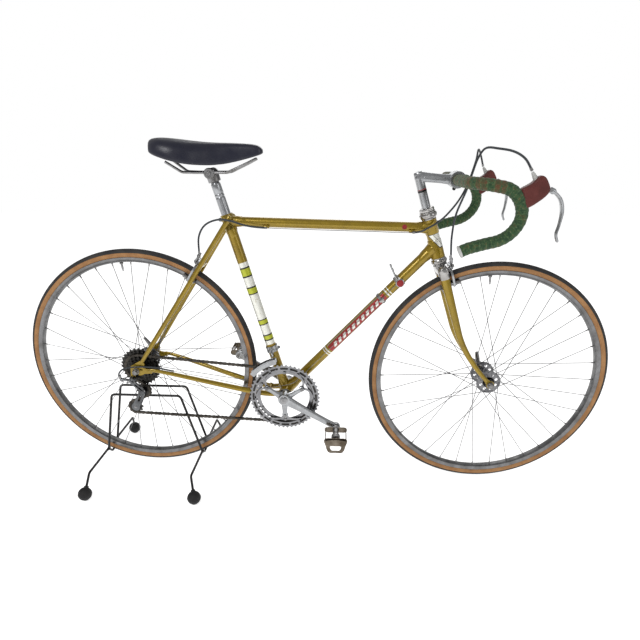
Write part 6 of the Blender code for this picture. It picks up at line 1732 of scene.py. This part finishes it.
def build_shifters():
    bm = bmesh.new()
    radius = DOWN_TUBE_RADIUS + 0.0003
    spin(bm, [(radius, -0.0075), (radius + 0.0024, -0.0080), (radius + 0.0032, -0.0060),
              (radius + 0.0024, -0.0030), (radius + 0.0024, 0.0030), (radius + 0.0032, 0.0060),
              (radius + 0.0024, 0.0080), (radius, 0.0075)], SHIFTERS, DOWN_ALONG, 44, ring=True)
    for side in (-1, 1):
        base = SHIFTERS + ACROSS * side * (DOWN_TUBE_RADIUS + 0.001)
        spin(bm, [(0, 0), (0.0080, 0), (0.0080, 0.0030), (0.0054, 0.0034), (0.0054, 0.0150), (0, 0.0150)],
             base, ACROSS * side, 28)
        stop = BB + DOWN_ALONG * CABLE_STOP + ACROSS * side * 0.0180
        tube(bm, [stop - DOWN_ALONG * 0.006, stop + DOWN_ALONG * 0.006], 0.0036, 16, domed=True)
    spin(bm, [(radius, -0.0040), (radius + 0.0020, -0.0040), (radius + 0.0020, 0.0040), (radius, 0.0040)],
         BB + DOWN_ALONG * CABLE_STOP, DOWN_ALONG, 44, ring=True)
    piece("shifter_band", bm, "bike_frame", ["chrome"], "shifter_clamp", bevel=0.0003)
    up = Vector((-DOWN_ALONG.z, 0, DOWN_ALONG.x))
    for label, side in SIDES:
        bm = bmesh.new()
        near = DOWN_TUBE_RADIUS + 0.0046
        spin(bm, [(0.0058, 0), (0.0112, 0), (0.0118, 0.0010), (0.0118, 0.0058), (0.0108, 0.0068),
                  (0.0096, 0.0072), (0.0096, 0.0085), (0.0058, 0.0085)],
             SHIFTERS + ACROSS * side * near, ACROSS * side, 36, ring=True)
        spin(bm, [(0, 0.0080), (0.0090, 0.0080), (0.0094, 0.0088), (0.0092, 0.0116), (0.0070, 0.0124),
                  (0.0030, 0.0126), (0, 0.0120)], SHIFTERS + ACROSS * side * near, ACROSS * side, 14, 1)
        y = side * (DOWN_TUBE_RADIUS + 0.0085)
        path = [SHIFTERS + ACROSS * y + up * 0.0085,
                SHIFTERS + ACROSS * y + up * 0.024 + DOWN_ALONG * 0.004,
                SHIFTERS + ACROSS * y * 1.04 + up * 0.034 + DOWN_ALONG * 0.008,
                SHIFTERS + ACROSS * y * 1.08 + up * 0.043 + DOWN_ALONG * 0.012]
        tube(bm, path, [0.0050, 0.0042, 0.0052, 0.0062], 18, [0.62, 0.55, 0.50, 0.50], domed=True)
        piece(f"shift_arm_{label}", bm, f"{label}_shift_lever", ["alloy", "crimson"],
              f"shift_lever_{label}", bevel=0.0003)


# Cables ---------------------------------------------------------------------------------

def near(place, *offsets):
    return [place + Vector(offset) for offset in offsets]


def beside_down_tube(y, *distances):
    up = Vector((-DOWN_ALONG.z, 0, DOWN_ALONG.x))
    return [BB + DOWN_ALONG * d + up * 0.003 + ACROSS * y for d in distances]


def under_top_tube(*places):
    return [SEAT_LUG.lerp(TOP_TUBE_END, share) + Vector((0, y, z)) for share, y, z in places]


def sheath(bm, line, radius, mat=0):
    """A run of housing with a steel cap at each end."""
    tube(bm, line, radius, 14, across=AHEAD, mat=mat)
    for a, b in ((line[0], line[1]), (line[-1], line[-2])):
        on = (b - a).normalized()
        tube(bm, [a - on * 0.001, a + on * 0.006], radius * 1.22, 14, across=ACROSS if abs(on.y) < 0.8
             else UP, mat=1)


def build_cables():
    points = near(hood_point(-1), (-0.0404, 0, 0.0402), (-0.0564, 0.004, 0.0632),
                  (-0.0774, 0.017, 0.0772), (-0.1024, 0.040, 0.0832))
    points += near(BAR_CENTRE, (0.0306, -0.120, 0.0715), (0.0236, -0.092, 0.0515),
                   (0.0216, -0.067, 0.0215), (0.0166, -0.048, -0.0205))
    points += near(CROWN, (0.0164, -0.034, 0.1459), (0.0124, -0.031, 0.0909), (0.0159, -0.030, 0.0394))
    line = smooth_path(points, 0.006)
    bm = bmesh.new()
    sheath(bm, line, HOUSING_RADIUS)
    tube(bm, [line[-1], CROWN + STEER_AHEAD * 0.0215 - ACROSS * 0.033 + STEER_UP * 0.010,
              CROWN + STEER_AHEAD * 0.0215 - ACROSS * 0.034 - STEER_UP * 0.012], INNER_WIRE_RADIUS, 8,
         mat=1)
    piece("front_brake_line", bm, "steering", ["housing", "steel"], "front_brake_cable")

    points = near(hood_point(1), (-0.0404, 0, 0.0402), (-0.0524, -0.007, 0.0702),
                  (-0.0664, -0.030, 0.0832), (-0.0784, -0.065, 0.0552), (-0.1024, -0.105, 0.0002))
    points += near(HEAD_TOP, (0.0829, 0.045, 0.0460), (0.0499, 0.005, 0.0160),
                   (0.0239, -0.022, -0.0010), (-0.0041, -0.027, -0.0180))
    points += under_top_tube((0.911, -0.0215, -0.0109), (0.700, -0.0160, -0.0124),
                             (0.418, -0.0160, -0.0128), (0.193, -0.0180, -0.0119))
    points += near(SEAT_LUG, (0.0524, -0.0290, -0.0076), (0.0104, -0.0355, 0.0054),
                   (-0.0226, -0.0350, 0.0074), (-0.0556, -0.0330, -0.0066))
    points += near(BRIDGE, (0.0054, -0.0310, 0.0807), (0.0019, -0.0300, 0.0377))
    line = smooth_path(points, 0.006)
    stop_front = min(range(len(line)), key=lambda i: abs(line[i].x - 0.262) + (line[i].z > 0.79))
    stop_back = min(range(len(line)), key=lambda i: abs(line[i].x + 0.120))
    bm = bmesh.new()
    sheath(bm, line[:stop_front + 1], HOUSING_RADIUS)
    tube(bm, line[stop_front:stop_back + 1], 0.0009, 8, mat=1)
    sheath(bm, line[stop_back:], HOUSING_RADIUS)
    tube(bm, [line[-1], BRIDGE + STAY_BACK * 0.0115 - ACROSS * 0.032 + STAY_UP * 0.008,
              BRIDGE + STAY_BACK * 0.0115 - ACROSS * 0.033 - STAY_UP * 0.014], INNER_WIRE_RADIUS, 8, mat=1)
    obj = make("rear_brake_line", bm, ["housing", "steel"])
    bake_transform(obj)
    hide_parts("rear_brake_cable")

    points = beside_down_tube(-0.0235, 0.398) + beside_down_tube(-0.0205, 0.206, 0.0751)
    points += near(BB, (0.023, -0.0215, 0.033), (-0.006, -0.025, 0.025), (-0.085, -0.030, 0.017))
    points += near(REAR, (0.254, -0.040, -0.0395), (0.104, -0.0585, -0.001), (0.054, -0.065, 0.012),
                   (0.004, -0.0745, 0.0165), (-0.031, -0.080, 0.012), (-0.047, -0.081, -0.006),
                   (-0.040, -0.080, -0.027))
    line = smooth_path(points, 0.007)
    stop = min(range(len(line)), key=lambda i: abs(line[i].x - (REAR.x + 0.104)))
    bm = bmesh.new()
    lever_side = SHIFTERS - ACROSS * 0.0225 + Vector((0.004, 0, 0.010))
    tube(bm, [lever_side] + line[:stop + 1], INNER_WIRE_RADIUS, 8, mat=1)
    sheath(bm, line[stop:], 0.0023)
    piece("rear_shift_line", bm, "bike_frame", ["housing", "steel"], "shift_cable_right")

    points = beside_down_tube(0.0235, 0.398) + beside_down_tube(0.0205, 0.206, 0.0893)
    points += near(BB, (0.027, 0.0195, 0.036))
    line = smooth_path(points, 0.010)
    bm = bmesh.new()
    lever_side = SHIFTERS + ACROSS * 0.0225 + Vector((0.004, 0, 0.010))
    tube(bm, [lever_side] + line, INNER_WIRE_RADIUS, 8, mat=1)
    tube(bm, [line[-1] + DOWN_ALONG * 0.004, line[-1] - DOWN_ALONG * 0.002], 0.0022, 12, mat=0)
    piece("front_shift_line", bm, "bike_frame", ["housing", "steel"], "shift_cable_left")


# Studio ---------------------------------------------------------------------------------

LENS = 27.2
SENSOR = 36.0
LENS_SHIFT = (0.0134, 0.0534)
CAMERA_PLACE = (0.0701, -1.3035, 0.9413)
CAMERA_YAW, CAMERA_PITCH, CAMERA_ROLL = -3.22, 22.53, -0.13     # degrees
FLOOR_HALF = 7.0
ROOM_LIGHT = 0.44
LAMPS = (("key", (-1.6, -2.6, 3.0), 1.4, 62.0), ("fill", (2.8, -1.8, 1.9), 1.8, 16.0),
         ("back", (0.2, 2.6, 2.4), 2.0, 22.0))                  # name, place, size, watts


def build_floor():
    """A wide sheet of pale paper that glows a little, so that it melts into the white."""
    bm = bmesh.new()
    half = FLOOR_HALF
    ends = ((-half, -half), (half, -half), (half, half), (-half, half))
    bm.faces.new([bm.verts.new((x, y, 0)) for x, y in ends])
    mesh = bpy.data.meshes.new("studio_floor")
    bm.to_mesh(mesh)
    bm.free()
    floor = bpy.data.objects.new("studio_floor", mesh)
    bpy.context.scene.collection.objects.link(floor)
    n = Nodes("floor_paper")
    paper = n.finish((0.80, 0.80, 0.80), n.ramp(n.noise(6), (0.3, 0.85), (0.7, 0.95)),
                     Emission_Color=(1, 1, 1, 1), Emission_Strength=0.72)
    mesh.materials.append(paper)


def build_room():
    """A white room, dimmer as a light than the camera sees it, with three soft lamps."""
    bpy.context.scene.view_settings.view_transform = "Standard"
    world = bpy.data.worlds.new("studio")
    bpy.context.scene.world = world
    world.use_nodes = True
    tree = world.node_tree
    shown = tree.nodes["Background"]
    shown.inputs[0].default_value = (1.0, 1.0, 1.0, 1)
    lit = tree.nodes.new("ShaderNodeBackground")
    lit.inputs[0].default_value = (1.0, 1.0, 1.0, 1)
    lit.inputs[1].default_value = ROOM_LIGHT
    path = tree.nodes.new("ShaderNodeLightPath")
    mix = tree.nodes.new("ShaderNodeMixShader")
    tree.links.new(path.outputs["Is Camera Ray"], mix.inputs[0])
    tree.links.new(lit.outputs[0], mix.inputs[1])
    tree.links.new(shown.outputs[0], mix.inputs[2])
    tree.links.new(mix.outputs[0], tree.nodes["World Output"].inputs["Surface"])
    for name, place, size, power in LAMPS:
        light = bpy.data.lights.new(name, "AREA")
        light.energy = power
        light.size = size
        obj = bpy.data.objects.new(name, light)
        obj.location = place
        aim = Vector((0, 0, 0.45)) - Vector(place)
        obj.rotation_euler = aim.to_track_quat("-Z", "Y").to_euler()
        bpy.context.scene.collection.objects.link(obj)


def build_camera():
    camera = bpy.data.cameras.new("camera")
    camera.lens = LENS
    camera.sensor_width = SENSOR
    camera.shift_x, camera.shift_y = LENS_SHIFT
    camera.clip_start = 0.02
    obj = bpy.data.objects.new("camera", camera)
    yaw, pitch, roll = (math.radians(a) for a in (CAMERA_YAW, CAMERA_PITCH, CAMERA_ROLL))
    forward = Vector((math.sin(yaw) * math.cos(pitch), math.cos(yaw) * math.cos(pitch),
                      -math.sin(pitch)))
    right = forward.cross(UP).normalized()
    over = right.cross(forward)
    turned = right * math.cos(roll) + over * math.sin(roll)
    raised = over * math.cos(roll) - right * math.sin(roll)
    rotation = Matrix((turned, raised, -forward)).transposed()
    obj.matrix_world = Matrix.Translation(CAMERA_PLACE) @ rotation.to_4x4()
    bpy.context.scene.collection.objects.link(obj)
    bpy.context.scene.camera = obj


def main():
    build_floor()
    build_room()
    build_camera()
    build_stand()
    build_wheels()
    build_freewheel()
    build_chain()
    build_cranks()
    build_rings()
    for label, side in SIDES:
        build_pedal(label, side)
    build_rear_derailleur()
    build_front_derailleur()
    build_frame()
    build_headset()
    build_fork()
    build_seat()
    build_stem()
    build_bar()
    build_hoods()
    build_caliper("front", CROWN, -STEER_UP, STEER_AHEAD, 0.0180, 0.043)
    build_caliper("rear", BRIDGE, -STAY_UP, STAY_BACK, 0.0078, 0.0485)
    build_shifters()
    build_cables()


main()
